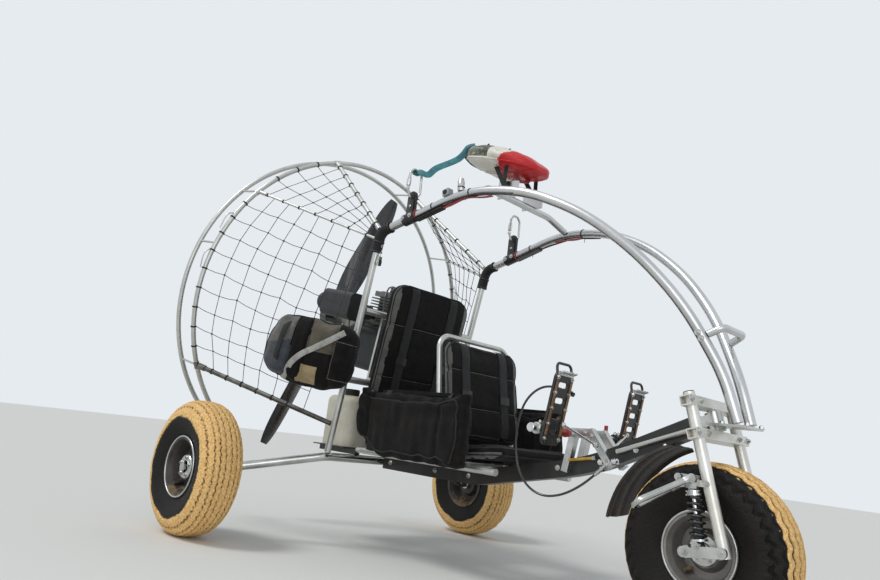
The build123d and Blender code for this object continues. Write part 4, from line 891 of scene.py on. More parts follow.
# the power unit's own frame and the frame tubes' centre lines, from the same sizes as the CAD
unit = {"lean": math.radians(9.5), "ahead": -0.394, "up": 0.896, "hoopRadius": 0.674, "hoopGap": 0.138}
leanCos, leanSin = math.cos(unit["lean"]), math.sin(unit["lean"])
wheelbase = axleY - boxMiddle("front_tyre").y
thrust = Vector((0, leanCos, leanSin))
unitUp = Vector((0, -leanSin, leanCos))
rake = math.radians(16.3)
steerWay = Vector((0, math.sin(rake), math.cos(rake)))


def inUnit(side, back, high):
    return spot(side, unit["ahead"], unit["up"]) + thrust * back + unitUp * high


def onHoop(degrees, back=-unit["hoopGap"], radius=unit["hoopRadius"]):
    angle = math.radians(degrees)
    return inUnit(radius * math.sin(angle), back, radius * math.cos(angle))


def roundedLine(points, share=0.45, steps=8):  # straight runs joined by tangent arcs
    line = [points[0].copy()]
    for before, corner, after in zip(points, points[1:], points[2:]):
        reach = share * min((before - corner).length, (after - corner).length)
        start = corner + (before - corner).normalized() * reach
        end = corner + (after - corner).normalized() * reach
        turn = (corner - start).angle(end - corner)
        if turn < 0.001:
            line += [start, end]
            continue
        bisect = ((start + end) / 2 - corner).normalized()
        middle = corner + bisect * (reach / math.sin(turn / 2))
        radius = (start - middle).length
        for step in range(steps + 1):
            mixed = (start - middle).lerp(end - middle, step / steps).normalized()
            line.append(middle + mixed * radius)
    return line + [points[-1].copy()]


def atShare(line, share):  # the point and direction a share of the way along a line
    lengths = [(b - a).length for a, b in zip(line, line[1:])]
    left = share * sum(lengths)
    for a, b, length in zip(line, line[1:], lengths):
        if left <= length:
            return a.lerp(b, left / length), (b - a).normalized()
        left -= length
    return line[-1], (line[-1] - line[-2]).normalized()


arcRoute = [
    # side, behind the front axle, up
    (0.041, -0.076, 0.547), (0.050, -0.037, 0.668), (0.098, 0.057, 0.846), (0.150, 0.183, 0.993),
    (0.198, 0.343, 1.117), (0.238, 0.537, 1.202), (0.266, 0.758, 1.226),
]
mastCorner = (0.293, 0.306, 1.120)
legFoot = (0.280, 0.163, 0.3171)
padReach = 0.046  # the arcs end this far ahead of the mast corner


def mirrored(hand, place):
    return spot(hand * place[0], *place[1:])


def arcLine(hand):
    points = [spot(hand * side, wheelbase - behind, up) for side, behind, up in arcRoute]
    last = corners[hand]
    return roundedLine(points + [last - (last - points[-1]).normalized() * padReach])


corners = {hand: mirrored(hand, mastCorner) for hand in (-1, 1)}
arcLines = {hand: arcLine(hand) for hand in (-1, 1)}


def onLeg(hand, up):
    foot = mirrored(hand, legFoot)
    return foot + (corners[hand] - foot) * ((up - legFoot[2]) / (mastCorner[2] - legFoot[2]))


def hangPoint(hand):
    fore = spot(hand * arcRoute[-1][0], wheelbase - arcRoute[-1][1], arcRoute[-1][2])
    aft = corners[hand] - (corners[hand] - fore).normalized() * padReach
    return fore + (aft - fore) * 0.73, (aft - fore).normalized()


# wheels: hub flange, its bolts and a valve stem on each dish
wheelTrim = {"flange": 0.030, "boltRing": 0.0295, "bolts": 5, "stemRadius": 0.066, "bead": 0.0975}


def trimWheel(name, node, body, hands):
    centre = boxMiddle(node)
    parts = []
    for hand in hands:
        out = Vector((hand, 0, 0))
        face = centre + out * 0.0302
        flange = wheelTrim["flange"]
        places = [(face + out * 0.0066 + sideways(turn) * wheelTrim["boltRing"], out)
                  for turn in turns(wheelTrim["bolts"], 0.3)]
        away = sideways(-0.9)
        low = centre + out * 0.012 + away * wheelTrim["stemRadius"]
        side = centre + out * (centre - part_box(node)[0]).x
        rolled = [side + sideways(turn) * wheelTrim["bead"] for turn in turns(48)]
        parts += [
            lathe(name + "Flange", [(0, 0.0202), (0, flange + 0.008), (0.003, flange + 0.010),
                                    (0.006, flange + 0.007), (0.0065, 0.0202)], face, out, "zincPlate"),
            bolts(name + "Bolts", places, 0.009, 0.004),
            bar(name + "Stem", low, low + out * 0.030 + away * 0.008, 0.0055, "mouldedBlack", 14),
            hose(name + "Edge", rolled, 0.0032, "zincPlate", resolution=2, closed=True),
        ]
    return settleSet(name, parts, body, "rim")


trimWheel("frontWheelTrim", "front_rim", "front_wheel", (-1, 1))
trimWheel("rearRightWheelTrim", "rear_right_rim", "rear_wheel_right", (-1,))
trimWheel("rearLeftWheelTrim", "rear_left_rim", "rear_wheel_left", (1,))
print("wheel trim made")

# spring dampers on the fork
shock = {
    "side": 0.122, "foot": (0.030, 0.241), "top": (0.006, 0.376), "spring": 0.0185, "wire": 0.0034, "turns": 6.5,
    "body": 0.0125, "rod": 0.006, "seat": 0.0215,
}


def makeShock(hand):
    foot = spot(hand * shock["side"], wheelbase + shock["foot"][0], shock["foot"][1])
    top = spot(hand * shock["side"], wheelbase + shock["top"][0], shock["top"][1])
    run = (top - foot).normalized()
    length = (top - foot).length
    low, high = 0.016, length - 0.020
    body, seat, wire = shock["body"], shock["seat"], shock["wire"]
    out = Vector((hand, 0, 0))
    return [
        sleeve("shockEye", -0.011, 0.011, 0, 0.0095, foot, out, "zincPlate", 48),
        sleeve("shockTopEye", -0.011, 0.011, 0, 0.009, top, out, "zincPlate", 48),
        lathe("shockBody", [(0.004, 0), (0.004, 0.010), (0.010, body), (length * 0.52, body),
                            (length * 0.54, 0.009), (length * 0.54, 0)], foot, run, "engineBlack"),
        bar("shockRod", foot + run * length * 0.5, top, shock["rod"], "chrome"),
        lathe("shockLowSeat", [(low - 0.006, 0.010), (low - 0.006, seat), (low - 0.001, seat), (low, 0.0125)],
              foot, run, "chrome"),
        lathe("shockHighSeat", [(high, 0.007), (high, seat), (high + 0.004, seat), (high + 0.005, 0.018),
                                (high + 0.008, 0.018), (high + 0.009, 0.0205), (high + 0.012, 0.0205),
                                (high + 0.013, 0.007)], foot, run, "chrome"),
        onPoints("shockSpring", "spring", [(foot + run * (low + wire), run)],
                 {"Turns": shock["turns"], "Radius": shock["spring"], "Wire": wire,
                  "Height": high - low - 2 * wire}, "springBlack"),
        bar("shockPin", foot, foot + out * 0.0148, 0.006, "zincPlate"),
    ]


settleSet("springDampers", makeShock(-1) + makeShock(1), "fork", "spring", "shocks")

# fork bolts: link pivots and clamp bolts
fork = {"face": 0.1453, "leg": 0.122, "legRadius": 0.0152, "bend": 0.544}


def onForkLeg(hand, up, side=fork["leg"]):
    return spot(hand * side, wheelbase - (up - fork["bend"]) * math.tan(rake), up)


forkAhead = Vector((0, math.cos(rake), -math.sin(rake)))
links, small = [], []
for hand in (-1, 1):
    out = Vector((hand, 0, 0))
    links.append((spot(hand * (fork["face"] + 0.001), wheelbase + 0.088, 0.2355), out))
    links.append((spot(hand * (fork["face"] + 0.001), wheelbase + shock["foot"][0], shock["foot"][1]), out))
    for up in (0.588, 0.507):
        for reach in (0.094, 0.148):
            small.append((onForkLeg(hand, up, reach) - forkAhead * fork["legRadius"], -forkAhead))
    for step in (-0.019, 0.019):
        small.append((spot(hand * 0.1568, wheelbase + step, 0.397), out))
    small.append((onForkLeg(hand, 0.388) + Vector((hand * fork["legRadius"], 0, 0)), out))
forkBolts = [bolts("linkBolts", links, 0.0115, 0.006), bolts("clampBolts", small, 0.010, 0.005)]
settleSet("forkBolts", forkBolts, "fork", "plated")

# axle through the links: spindle, spacers, washers and nuts
spindle = {"radius": 0.0098, "face": 0.1456, "hub": 0.032, "link": 0.137}
centre = boxMiddle("front_tyre")
reach = Vector((spindle["face"], 0, 0))
near, far = spindle["hub"], spindle["link"]
spacer = [(near, 0.0098), (near, 0.019), (near + 0.012, 0.019), (near + 0.016, 0.015), (far - 0.006, 0.015),
          (far - 0.003, 0.0120), (far, 0.0120), (far, 0.0098)]
nuts = [(centre + Vector((hand * 0.1466, 0, 0)), (hand, 0, 0)) for hand in (-1, 1)]
axleParts = [bar("frontSpindle", centre - reach, centre + reach, spindle["radius"], "zincPlate", 28)]
axleParts += [lathe("axleSpacer", spacer, centre, (hand, 0, 0), "zincPlate", 32) for hand in (-1, 1)]
axleParts.append(bolts("axleNuts", nuts, 0.0125, 0.0065))
settleSet("frontAxleSet", axleParts, "fork", "plated", "front_axle")

# plugs in the leg tops, and black discs on the links painted as the shade inside their holes
capsAndHoleShades = []
for hand in (-1, 1):
    capsAndHoleShades += [
        # a thin black disc: painted shade where the link has a hole
        lathe("linkHolePaintedShade", [(0, 0), (0, 0.0042), (0.0006, 0.0046), (0.0008, 0.0)],
              spot(hand * fork["face"], wheelbase + 0.0165, 0.2395), (hand, 0, 0), "mouldedBlack", 20),
        lathe("legCap", [(0, 0), (0, 0.0142), (0.003, 0.0135), (0.004, 0)],
              onForkLeg(hand, 0.610) - steerWay * 0.0005, steerWay, "mouldedBlack", 24),
    ]
settleSet("forkCaps", capsAndHoleShades, "fork", "fork_paint")
print("fork pieces made")

# mudguard: a pressed sheet with a ridge, turned-in lips and a pointed lower end
guard = {"radius": 0.268, "half": 0.074, "low": 8.5, "high": 69.5, "sheet": 0.003, "ridge": 0.006, "lip": 0.009}


def makeMudguard():
    centre = spot(0, wheelbase, 0.2225)
    columns, rows = 36, 60
    points = []
    for row in range(rows + 1):
        share = row / rows
        for column in range(columns + 1):
            x = (column / columns * 2 - 1)
            start = guard["low"] + 2.4 * max(0, x)  # the lower end is cut a little askew
            angle = math.radians(start + (guard["high"] - start) * share)
            ridge = guard["ridge"] * math.exp(-(x / 0.16) ** 2)
            ridge += 0.002 * math.exp(-((abs(x) - 0.62) / 0.10) ** 2)
            lip = guard["lip"] * max(0, (abs(x) - 0.93) / 0.07) ** 2
            radius = guard["radius"] + 0.0005 + ridge * 0.55 - lip
            ripple = 0.0012 * noise.noise(Vector((x * 2, share * 5, 0)))
            points.append(centre + Vector((x * guard["half"], math.cos(angle) * (radius + ripple),
                                           math.sin(angle) * (radius + ripple))))
    sheet = newPiece("guardSheet", points, gridFaces(columns, rows), "guardPlastic")
    addWall(sheet, guard["sheet"])
    closeUp(applyModifiers(sheet), 50)
    keelRoot = spot(0, wheelbase - 0.037, 0.538)
    keelRun = (spot(0, wheelbase - 0.370, 0.388) - keelRoot).normalized()
    keelUp = Vector((1, 0, 0)).cross(keelRun)
    if keelUp.z < 0:
        keelUp = -keelUp
    foot = centre + sideways(math.radians(64)) * 0.270
    reach = (keelRoot - foot).dot(keelUp) - 0.0253
    places = []
    for degrees in (24, 45, 66):
        away = sideways(math.radians(degrees))
        for side in (-0.055, 0.055):
            places.append((centre + Vector((side, 0, 0)) + away * (guard["radius"] + 0.0026), away))
    parts = [sheet, bar("guardStay", foot, foot + keelUp * reach, 0.0125, "powderBlack"),
             bolts("guardBolts", places, 0.010, 0.004)]
    return settleSet("mudguardSheet", parts, "frame", "guard", "mudguard")


makeMudguard()
print("mudguard made")

# side nets: hand-knotted cords between hoop, struts and the upright edge cord
netShape = {"rows": 9, "columns": 6, "topRows": 7, "cord": 0.0026, "sag": 0.004, "inside": 0.0095}
strutAngles = {"top": 19, "side": 53, "low": 117}


def strutEnds(kind, hand):
    start = onHoop(hand * strutAngles[kind])
    end = {"top": corners[hand], "side": corners[hand] - unitUp * 0.030, "low": onLeg(hand, 0.413)}[kind]
    run = (end - start).normalized()
    return start + run * 0.0093, end - run * (0.014 if kind == "low" else 0.0205)


def hoopRun(degrees, step):  # along the hoop at an angle
    return onHoop(degrees + step) - onHoop(degrees - step)


def makeNet(name, node, hand):
    topEnds, sideEnds, lowEnds = [strutEnds(kind, hand) for kind in ("top", "side", "low")]
    edgeTop = sideEnds[0].lerp(sideEnds[1], 0.93) - unitUp * 0.004
    edgeLow = lowEnds[0].lerp(lowEnds[1], 0.8) + unitUp * 0.0093
    rows, columns = netShape["rows"], netShape["columns"]
    rowAngles = [strutAngles["side"] + (strutAngles["low"] - strutAngles["side"]) * row / (rows + 1)
                 for row in range(rows + 2)]
    topAngles = [strutAngles["top"] + (strutAngles["side"] - strutAngles["top"]) * i / 4 for i in (1, 2, 3)]
    random.seed(17 + hand)
    spread = {}

    def loosely(reach):
        return Vector((0, random.uniform(-1, 1), random.uniform(-1, 1))) * reach

    def crossing(row, column):
        outer = onHoop(hand * rowAngles[row], radius=unit["hoopRadius"] - netShape["inside"])
        edge = edgeTop.lerp(edgeLow, row / (rows + 1))
        if (row, column) not in spread:
            loose = 0 if column in (0, columns + 1) or row in (0, rows + 1) else 1
            spread[(row, column)] = loosely(0.007) * loose
        return outer.lerp(edge, column / (columns + 1)) + spread[(row, column)]

    lines, knots = [[edgeTop.lerp(edgeLow, i / 20) for i in range(21)]], []
    for row in range(1, rows + 1):
        stations = [crossing(row, column) for column in range(columns + 2)]
        line = []
        for a, b in zip(stations, stations[1:]):
            line += [a, a.lerp(b, 0.5) - Vector((0, 0, netShape["sag"] * 0.6))]
        lines.append(line + [stations[-1]])
    for column in range(1, columns + 1):
        stations = [crossing(row, column) for row in range(0, rows + 2)]
        lines.append(stations)
        knots += stations[1:-1]
    topLines = []
    for row in range(netShape["topRows"]):
        share = 0.07 + row * 0.86 / (netShape["topRows"] - 1)
        a, b = topEnds[0].lerp(topEnds[1], share), sideEnds[0].lerp(sideEnds[1], share)
        topLines.append([a.lerp(b, i / 4) + loosely(0.004) * (0 < i < 4) for i in range(5)])
    lines += topLines
    for i, angle in enumerate(topAngles, 1):
        crossed = [row[i] for row in topLines]
        lines.append([onHoop(hand * angle, radius=unit["hoopRadius"] - netShape["inside"])] + crossed)
        knots += crossed
    cords = alongEdges(name + "Cords", lines, netShape["cord"], "netCord")
    knots = [(knot, (0, 0, 1)) for knot in knots]
    tied = onPoints(name + "Knots", "knot", knots, {"Size": 0.0036, "Seed": 5}, "netCord")

    def tiedOn(ends, place):  # the nearest point of a strut and the strut's direction
        a, b = ends
        return a.lerp(b, (place - a).dot(b - a) / (b - a).length_squared), b - a

    # ties round the hoop and the struts where the cords end
    thick = [(onHoop(hand * angle), hoopRun(hand * angle, hand * 0.5)) for angle in rowAngles[1:-1] + topAngles]
    thick += [(line[0], topEnds[1] - topEnds[0]) for line in topLines]
    thick += [tiedOn(lowEnds, crossing(rows + 1, column)) for column in range(1, columns + 1)]
    slim = [tiedOn(sideEnds, line[-1]) for line in topLines]
    wraps = [ties(name + "HoopTies", thick, 0.0101, 0.0014, 2.4, "netCord"),
             ties(name + "SlimTies", slim, 0.0061, 0.0013, 2.4, "netCord")]
    return settleSet(name, [cords, tied] + wraps, "frame", "net_cord", node)


makeNet("rightNetCords", "net_right", -1)
makeNet("leftNetCords", "net_left", 1)

# wire guides that keep loose lines off the hoop, low on each side
guides = []
for hand in (-1, 1):
    for degrees in (64, 78):
        root = onHoop(hand * degrees)
        tip = onHoop(hand * (degrees + 7), radius=unit["hoopRadius"] + 0.018)
        bow = onHoop(hand * (degrees + 3), radius=unit["hoopRadius"] + 0.026)
        bent = [root, root.lerp(bow, 0.6) + unitUp * 0.01, bow, tip, root.lerp(tip, 1.02)]
        guides.append(hose("hoopGuide", bent, 0.0022, "zincPlate", resolution=8))
settleSet("hoopGuides", guides, "frame", "polished_tube")

# sockets where the struts meet the hoops, and end sleeves on the U tubes
sockets = []
for hand in (-1, 1):
    for kind, radius in (("top", 0.0118), ("side", 0.008), ("low", 0.0118)):
        a, b = strutEnds(kind, hand)
        # the low strut's sleeve takes the tube painted darker as reflection
        finish = "dullTubeDarkReflection" if kind == "low" else "dullTube"
        angle = hand * strutAngles[kind]
        sockets += [
            lathe("strutSleeve", [(0.0015, radius - 0.0035), (0.0015, radius), (0.030, radius),
                                  (0.032, radius - 0.003)], a, (b - a).normalized(), finish, 24),
            sleeve("hoopCollar", -0.013, 0.013, 0.0092, 0.0108, onHoop(angle), hoopRun(angle, hand * 0.4),
                   finish, 28),
        ]
    for back in (0, -unit["hoopGap"]):
        a, b = onHoop(hand * 143.2, back=back), onHoop(hand * 145.4, back=back)
        sockets.append(sleeve("endSleeve", 0, 0.024, 0.0091, 0.0103, a, b - a, "zincPlate", 28))
settleSet("cageSockets", sockets, "frame", "polished_tube")
print("nets and cage pieces made")

# soft goods: each CAD solid is remeshed, blown up as cloth, fitted back to its size and then sewn
cloth = {"voxel": 0.009, "frames": 20, "pressure": 4.0, "inset": 0.007, "skin": 0.0012}


def solidPart(node, index):  # one solid of a CAD node, counted from the vehicle's right
    work = bmesh.new()
    work.from_mesh(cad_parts[node].data)
    bmesh.ops.remove_doubles(work, verts=work.verts, dist=0.00002)
    work.verts.ensure_lookup_table()
    work.verts.index_update()
    loose = set(range(len(work.verts)))
    solids = []
    while loose:
        seed = min(loose)
        found, queue = {seed}, [work.verts[seed]]
        while queue:
            for edge in queue.pop().link_edges:
                for vert in edge.verts:
                    if vert.index not in found:
                        found.add(vert.index)
                        queue.append(vert)
        loose -= found
        order = {old: new for new, old in enumerate(sorted(found))}
        points = [work.verts[i].co.copy() for i in order]
        faces = [[order[v.index] for v in face.verts] for face in work.faces if face.verts[0].index in found]
        solids.append((sum(p.x for p in points) / len(points), points, faces))
    work.free()
    solids.sort(key=lambda solid: solid[0])
    return solids[index][1:]


def blowUp(piece, cap):  # air pressure in a closed cloth skin, with no point moving more than the cap
    rest = [v.co.copy() for v in piece.data.vertices]
    skin = piece.modifiers.new("skin", "CLOTH")
    skin.settings.quality = 4
    skin.settings.use_pressure = True
    skin.settings.uniform_pressure_force = cloth["pressure"]
    skin.settings.effector_weights.gravity = 0
    for number in range(1, cloth["frames"] + 1):
        bpy.context.scene.frame_set(number)
    blown = piece.evaluated_get(bpy.context.evaluated_depsgraph_get()).data
    moved = [v.co - r for v, r in zip(blown.vertices, rest)]
    piece.modifiers.clear()
    bpy.context.scene.frame_set(1)
    for vert, start, move in zip(piece.data.vertices, rest, moved):
        vert.co = start + move * min(1, cap / max(move.length, 0.000001))


def smoothSkin(piece, times):
    work = bmesh.new()
    work.from_mesh(piece.data)
    for i in range(times):
        bmesh.ops.smooth_vert(work, verts=work.verts, factor=0.5, use_axis_x=True, use_axis_y=True,
                              use_axis_z=True)
    work.to_mesh(piece.data)
    work.free()


def softBody(name, node, axes, look, index=0, form=None):
    points, faces = solidPart(node, index)
    turn = Matrix(axes).transposed()
    local = [turn.transposed() @ p for p in points]
    low = Vector([min(p[i] for p in local) for i in range(3)])
    high = Vector([max(p[i] for p in local) for i in range(3)])
    centre, half = (low + high) / 2, (high - low) / 2
    inset = [1 - cloth["inset"] / half[i] for i in range(3)]
    shrunk = [[(p - centre)[i] * inset[i] for i in range(3)] for p in local]
    piece = newPiece(name, shrunk, faces, look["finish"])
    even = piece.modifiers.new("even", "REMESH")
    even.mode = "VOXEL"
    even.voxel_size = cloth["voxel"]
    applyModifiers(piece)
    smoothSkin(piece, 2)
    blowUp(piece, look["cap"])
    smoothSkin(piece, 1)
    addFine(piece)
    applyModifiers(piece)
    mesh = piece.data
    reach = [max(abs(v.co[i]) for v in mesh.vertices) for i in range(3)]
    for vert in mesh.vertices:
        for i in range(3):
            vert.co[i] *= (half[i] - cloth["skin"]) / reach[i]
    normals = [v.normal.copy() for v in mesh.vertices]
    for vert, normal in zip(mesh.vertices, normals):
        p = vert.co.copy()
        facing = clamp((abs(normal.z) - 0.25) / 0.5)
        # seams as (axis that the seam crosses, place, depth, half width)
        sink = sum(depth * math.exp(-((p[axis] - at * half[axis]) / wide) ** 2)
                   for axis, at, depth, wide in look["seams"])
        folds = noise.noise(Vector((p.x * 26, p.y * 9, p.z * 26)))
        folds += noise.noise(Vector((p.x * 8, p.y * 30, p.z * 20)))
        vert.co = p - normal * (sink * facing + look["crease"] * (folds + 0.9))
        if form:
            vert.co = form(vert.co, half)
    for vert in mesh.vertices:
        vert.co = turn @ (vert.co + centre)
    for finish, inside in look.get("panels", ()):
        mesh.materials.append(finishes[finish])
        for face in mesh.polygons:
            at = turn.transposed() @ face.center - centre
            if inside([at[i] / half[i] for i in range(3)]):
                face.material_index = len(mesh.materials) - 1
    work = faceOutwards(mesh)
    skin = BVHTree.FromBMesh(work)
    work.free()
    return piece, {"skin": skin, "centre": turn @ centre, "turn": turn, "half": half}


def hitSkin(shape, u, v, side=1):  # the skin's point and normal, u and v as shares of the half size
    half, turn = shape["half"], shape["turn"]
    start = shape["centre"] + turn @ Vector((u * half.x, v * half.y, side * (half.z + 0.08)))
    hit, normal, face, away = shape["skin"].ray_cast(start, turn @ Vector((0, 0, -side)))
    if hit is None:
        return shape["centre"] + turn @ Vector((u * half.x, v * half.y, 0)), None
    return hit, normal


def onSkin(shape, u, v, lift=0.0, side=1):  # a point over the skin
    hit, normal = hitSkin(shape, u, v, side)
    return hit + normal * lift if normal else hit


def roundSkin(shape, axis, share, count, lift, squarish=0.75):  # a closed line, square to one axis
    half, turn = shape["half"], shape["turn"]
    others = [i for i in range(3) if i != axis]
    line = []
    for angle in turns(count, 0.5):
        way = Vector((0, 0, 0))
        for i, part in zip(others, (math.cos(angle), math.sin(angle))):
            way[i] = math.copysign(abs(part) ** squarish, part) * half[i]
        base = Vector((0, 0, 0))
        base[axis] = share * half[axis]
        aim = shape["centre"] + turn @ base
        start = aim + turn @ (way * 1.5)
        hit, normal, face, away = shape["skin"].ray_cast(start, (aim - start).normalized())
        if hit is not None:
            line.append(hit + (start - aim).normalized() * lift)
    return line


def piping(name, shape, share, count, radius, finish="blackWebbing", lift=0.0008):
    return hose(name, roundSkin(shape, 2, share, count, lift), radius, finish, resolution=2, closed=True)


def skinPatch(name, shape, uSpan, vSpan, lift, thickness, finish, steps=(18, 14), corner=0.25):
    # a cloth panel that follows the skin, its corners rounded and its edges turned down
    points = []
    for j in range(steps[1] + 1):
        for i in range(steps[0] + 1):
            a, b = i / steps[0] * 2 - 1, j / steps[1] * 2 - 1
            squeeze = 1 - corner * max(0, abs(a) - 0.8) / 0.2 * max(0, abs(b) - 0.8) / 0.2
            u = (uSpan[0] + uSpan[1]) / 2 + a * squeeze * (uSpan[1] - uSpan[0]) / 2
            v = (vSpan[0] + vSpan[1]) / 2 + b * squeeze * (vSpan[1] - vSpan[0]) / 2
            drop = lift * 0.75 * max(0, (max(abs(a), abs(b)) - 0.86) / 0.14) ** 2
            points.append(onSkin(shape, u, v, lift - drop))
    piece = newPiece(name, points, gridFaces(*steps), finish)
    addWall(piece, thickness)
    addFine(piece)
    return closeUp(applyModifiers(piece), 60)


def skinSeam(name, shape, places, finish="paleWebbing", spacing=0.007, lift=0.0006):  # stitches along a line
    line = []
    for (u0, v0), (u1, v1) in zip(places, places[1:]):
        line += [onSkin(shape, u0 + (u1 - u0) * i / 30, v0 + (v1 - v0) * i / 30, lift) for i in range(30)]
    line.append(onSkin(shape, *places[-1], lift))
    length = sum((b - a).length for a, b in zip(line, line[1:]))
    count = max(2, int(length / spacing))
    return onPoints(name, "stitch", [atShare(line, (i + 0.5) / count) for i in range(count)], {}, finish)


def skinStrap(name, shape, places, width, thickness, finish, lift):
    points = [onSkin(shape, u, v, lift) for u, v in places]
    across = (points[-1] - points[0]).cross(hitSkin(shape, *places[len(places) // 2])[1])
    return strap(name, points, width, thickness, across, finish)


level = ((1, 0, 0), (0, -1, 0), (0, 0, 1))
seatSlope = Vector((0, -0.2460, 0.0268)).normalized()
backRun = (spot(0, 0.560, 0.760) - spot(0, 0.636, 0.3363)).normalized()
pad = {"finish": "packNylon", "cap": 0.012, "crease": 0.0009,
       "panels": [("greyCordura", lambda p: abs(p[0]) > 0.86 and p[2] > 0.1)]}
seatLooks = {
    # the seams run across the cushions as channels, and along the backs beside the spine
    "cushion": {**pad, "seams": [(1, -0.5, 0.007, 0.006), (1, 0, 0.007, 0.006), (1, 0.5, 0.007, 0.006)]},
    "back": {**pad, "seams": [(0, -0.45, 0.007, 0.006), (0, 0.45, 0.007, 0.006), (1, -0.35, 0.005, 0.006),
                              (1, 0.4, 0.005, 0.006)]},
}
seatPlan = [
    # name, node, frame of width, length and thickness, look
    ("rearSeatCushion", "rear_seat", level, "cushion"),
    ("frontSeatCushion", "front_seat", ((1, 0, 0), seatSlope, seatSlope.cross(Vector((-1, 0, 0)))), "cushion"),
    ("rearSeatBackPad", "rear_seat_back", ((1, 0, 0), unitUp, -thrust), "back"),
    ("frontSeatBackPad", "front_seat_back", ((1, 0, 0), backRun, Vector((1, 0, 0)).cross(backRun)), "back"),
]
seatShapes = {}
for name, node, axes, kind in seatPlan:
    cushion, shape = softBody(name, node, axes, seatLooks[kind])
    seatShapes[name] = shape
    settle(cushion, "frame", "cushion", node)
    trim = [piping("padPiping", shape, share, 72, 0.0024) for share in (-0.42, 0.42)]
    for axis, at, depth, wide in seatLooks[kind]["seams"]:
        run = [(-0.86, at), (0.86, at)] if axis == 1 else [(at, -0.9), (at, 0.9)]
        trim.append(skinSeam("padStitches", shape, run))
    settleSet(name + "Trim", trim, "frame", "cushion")
print("seats made")

# lap belts and shoulder straps lying on the seats
belts = []
for seat, rest in (("rearSeatCushion", "rearSeatBackPad"), ("frontSeatCushion", "frontSeatBackPad")):
    shape, back = seatShapes[seat], seatShapes[rest]
    for hand in (-1, 1):
        edge = onSkin(shape, hand * 0.995, -0.55, 0.003)
        side = [edge + Vector((hand * 0.006, 0, drop)) for drop in (-0.030, -0.008)]
        over = [onSkin(shape, hand * u, v, 0.0026)
                for u, v in ((0.9, -0.5), (0.7, -0.36), (0.5, -0.24), (0.3, -0.14), (0.12, -0.08))]
        down = [onSkin(back, hand * 0.52, v, 0.0026) for v in (0.93, 0.7, 0.45, 0.2, -0.1, -0.4, -0.7, -0.88)]
        top = down[0] + back["turn"] @ Vector((0, 0.012, -0.018))
        middle = onSkin(back, hand * 0.52, -0.1, 0.0045)
        reach = back["turn"] @ Vector((0, 0.014, 0))
        belts += [
            strap("lapBelt", side + over, 0.044, 0.0016, (0, 1, 0.05), "blackWebbing"),
            strap("shoulderStrap", [top] + down, 0.040, 0.0016, (1, 0, 0), "blackWebbing"),
            strap("strapSlider", [middle - reach, middle + reach], 0.048, 0.005, (1, 0, 0), "mouldedBlack"),
        ]
    centre = onSkin(shape, 0, -0.06, 0.005)
    rise = hitSkin(shape, 0, -0.06)[1] * 0.006
    along, ahead = shape["turn"] @ Vector((1, 0, 0)), shape["turn"] @ Vector((0, 1, 0))
    buckle = [centre + along * x for x in (-0.034, -0.012, 0.012, 0.034)]
    button = [centre + along * x + rise for x in (-0.012, 0.012)]
    belts += [strap("beltBuckle", buckle, 0.050, 0.011, ahead, "mouldedBlack"),
              strap("buckleButton", button, 0.022, 0.003, ahead, "redEnamel")]
settleSet("seatBelts", belts, "frame", "cushion")

# panniers beside the seats: black pack cloth with a lid flap, buckles and a lower edge that curves up behind
pannierLook = {
    "finish": "packNylon", "cap": 0.016, "crease": 0.0055,
    "seams": [(0, -0.66, 0.005, 0.006), (0, 0.62, 0.005, 0.006), (1, 0.70, 0.004, 0.006)],
}


def pannierForm(p, half):  # u runs ahead, v up: the lower rear corner is drawn up
    behind = max(0, (-p.x / half.x - 0.35) / 0.65)
    ahead = max(0, (p.x / half.x - 0.75) / 0.25)
    low = max(0, (half.y - p.y) / (2 * half.y))
    return Vector((p.x, p.y + (0.110 * behind ** 1.4 + 0.03 * ahead ** 2) * low, p.z))


for index, hand, label in ((0, -1, "right"), (1, 1, "left")):
    axes = ((0, -1, 0), (0, 0, 1), (hand, 0, 0))
    bag, shape = softBody(label + "Pannier", "side_panniers", axes, pannierLook, index, pannierForm)
    settle(bag, "frame", "pannier", "side_panniers")
    trim = [
        skinPatch("pannierHem", shape, (-0.60, 0.94), (0.72, 0.96), 0.0040, 0.0022, "packNylon"),
        skinPatch("pannierFlap", shape, (-0.98, -0.72), (-0.28, 0.92), 0.006, 0.003, "tanLeather", (10, 18),
                  0.6),
        skinPatch("pannierTab", shape, (-0.99, -0.86), (0.02, 0.24), 0.0095, 0.0024, "redWebbing", (6, 6)),
    ]
    trim += [piping("pannierPiping", shape, share, 84, 0.0026) for share in (-0.7, 0.72)]
    for u in (-0.44, 0.66):
        down = [(u, v) for v in (0.93, 0.7, 0.5, 0.3)]
        trim += [skinStrap("pannierStrap", shape, down, 0.026, 0.0018, "blackWebbing", 0.0060),
                 skinStrap("pannierBuckle", shape, [(u, 0.44), (u, 0.30)], 0.034, 0.009, "mouldedBlack", 0.009)]
    trim.append(skinSeam("pannierStitches", shape, [(-0.60, 0.74), (0.92, 0.74)], lift=0.0058))
    settleSet(label + "PannierTrim", trim, "frame", "pannier")
print("panniers made")

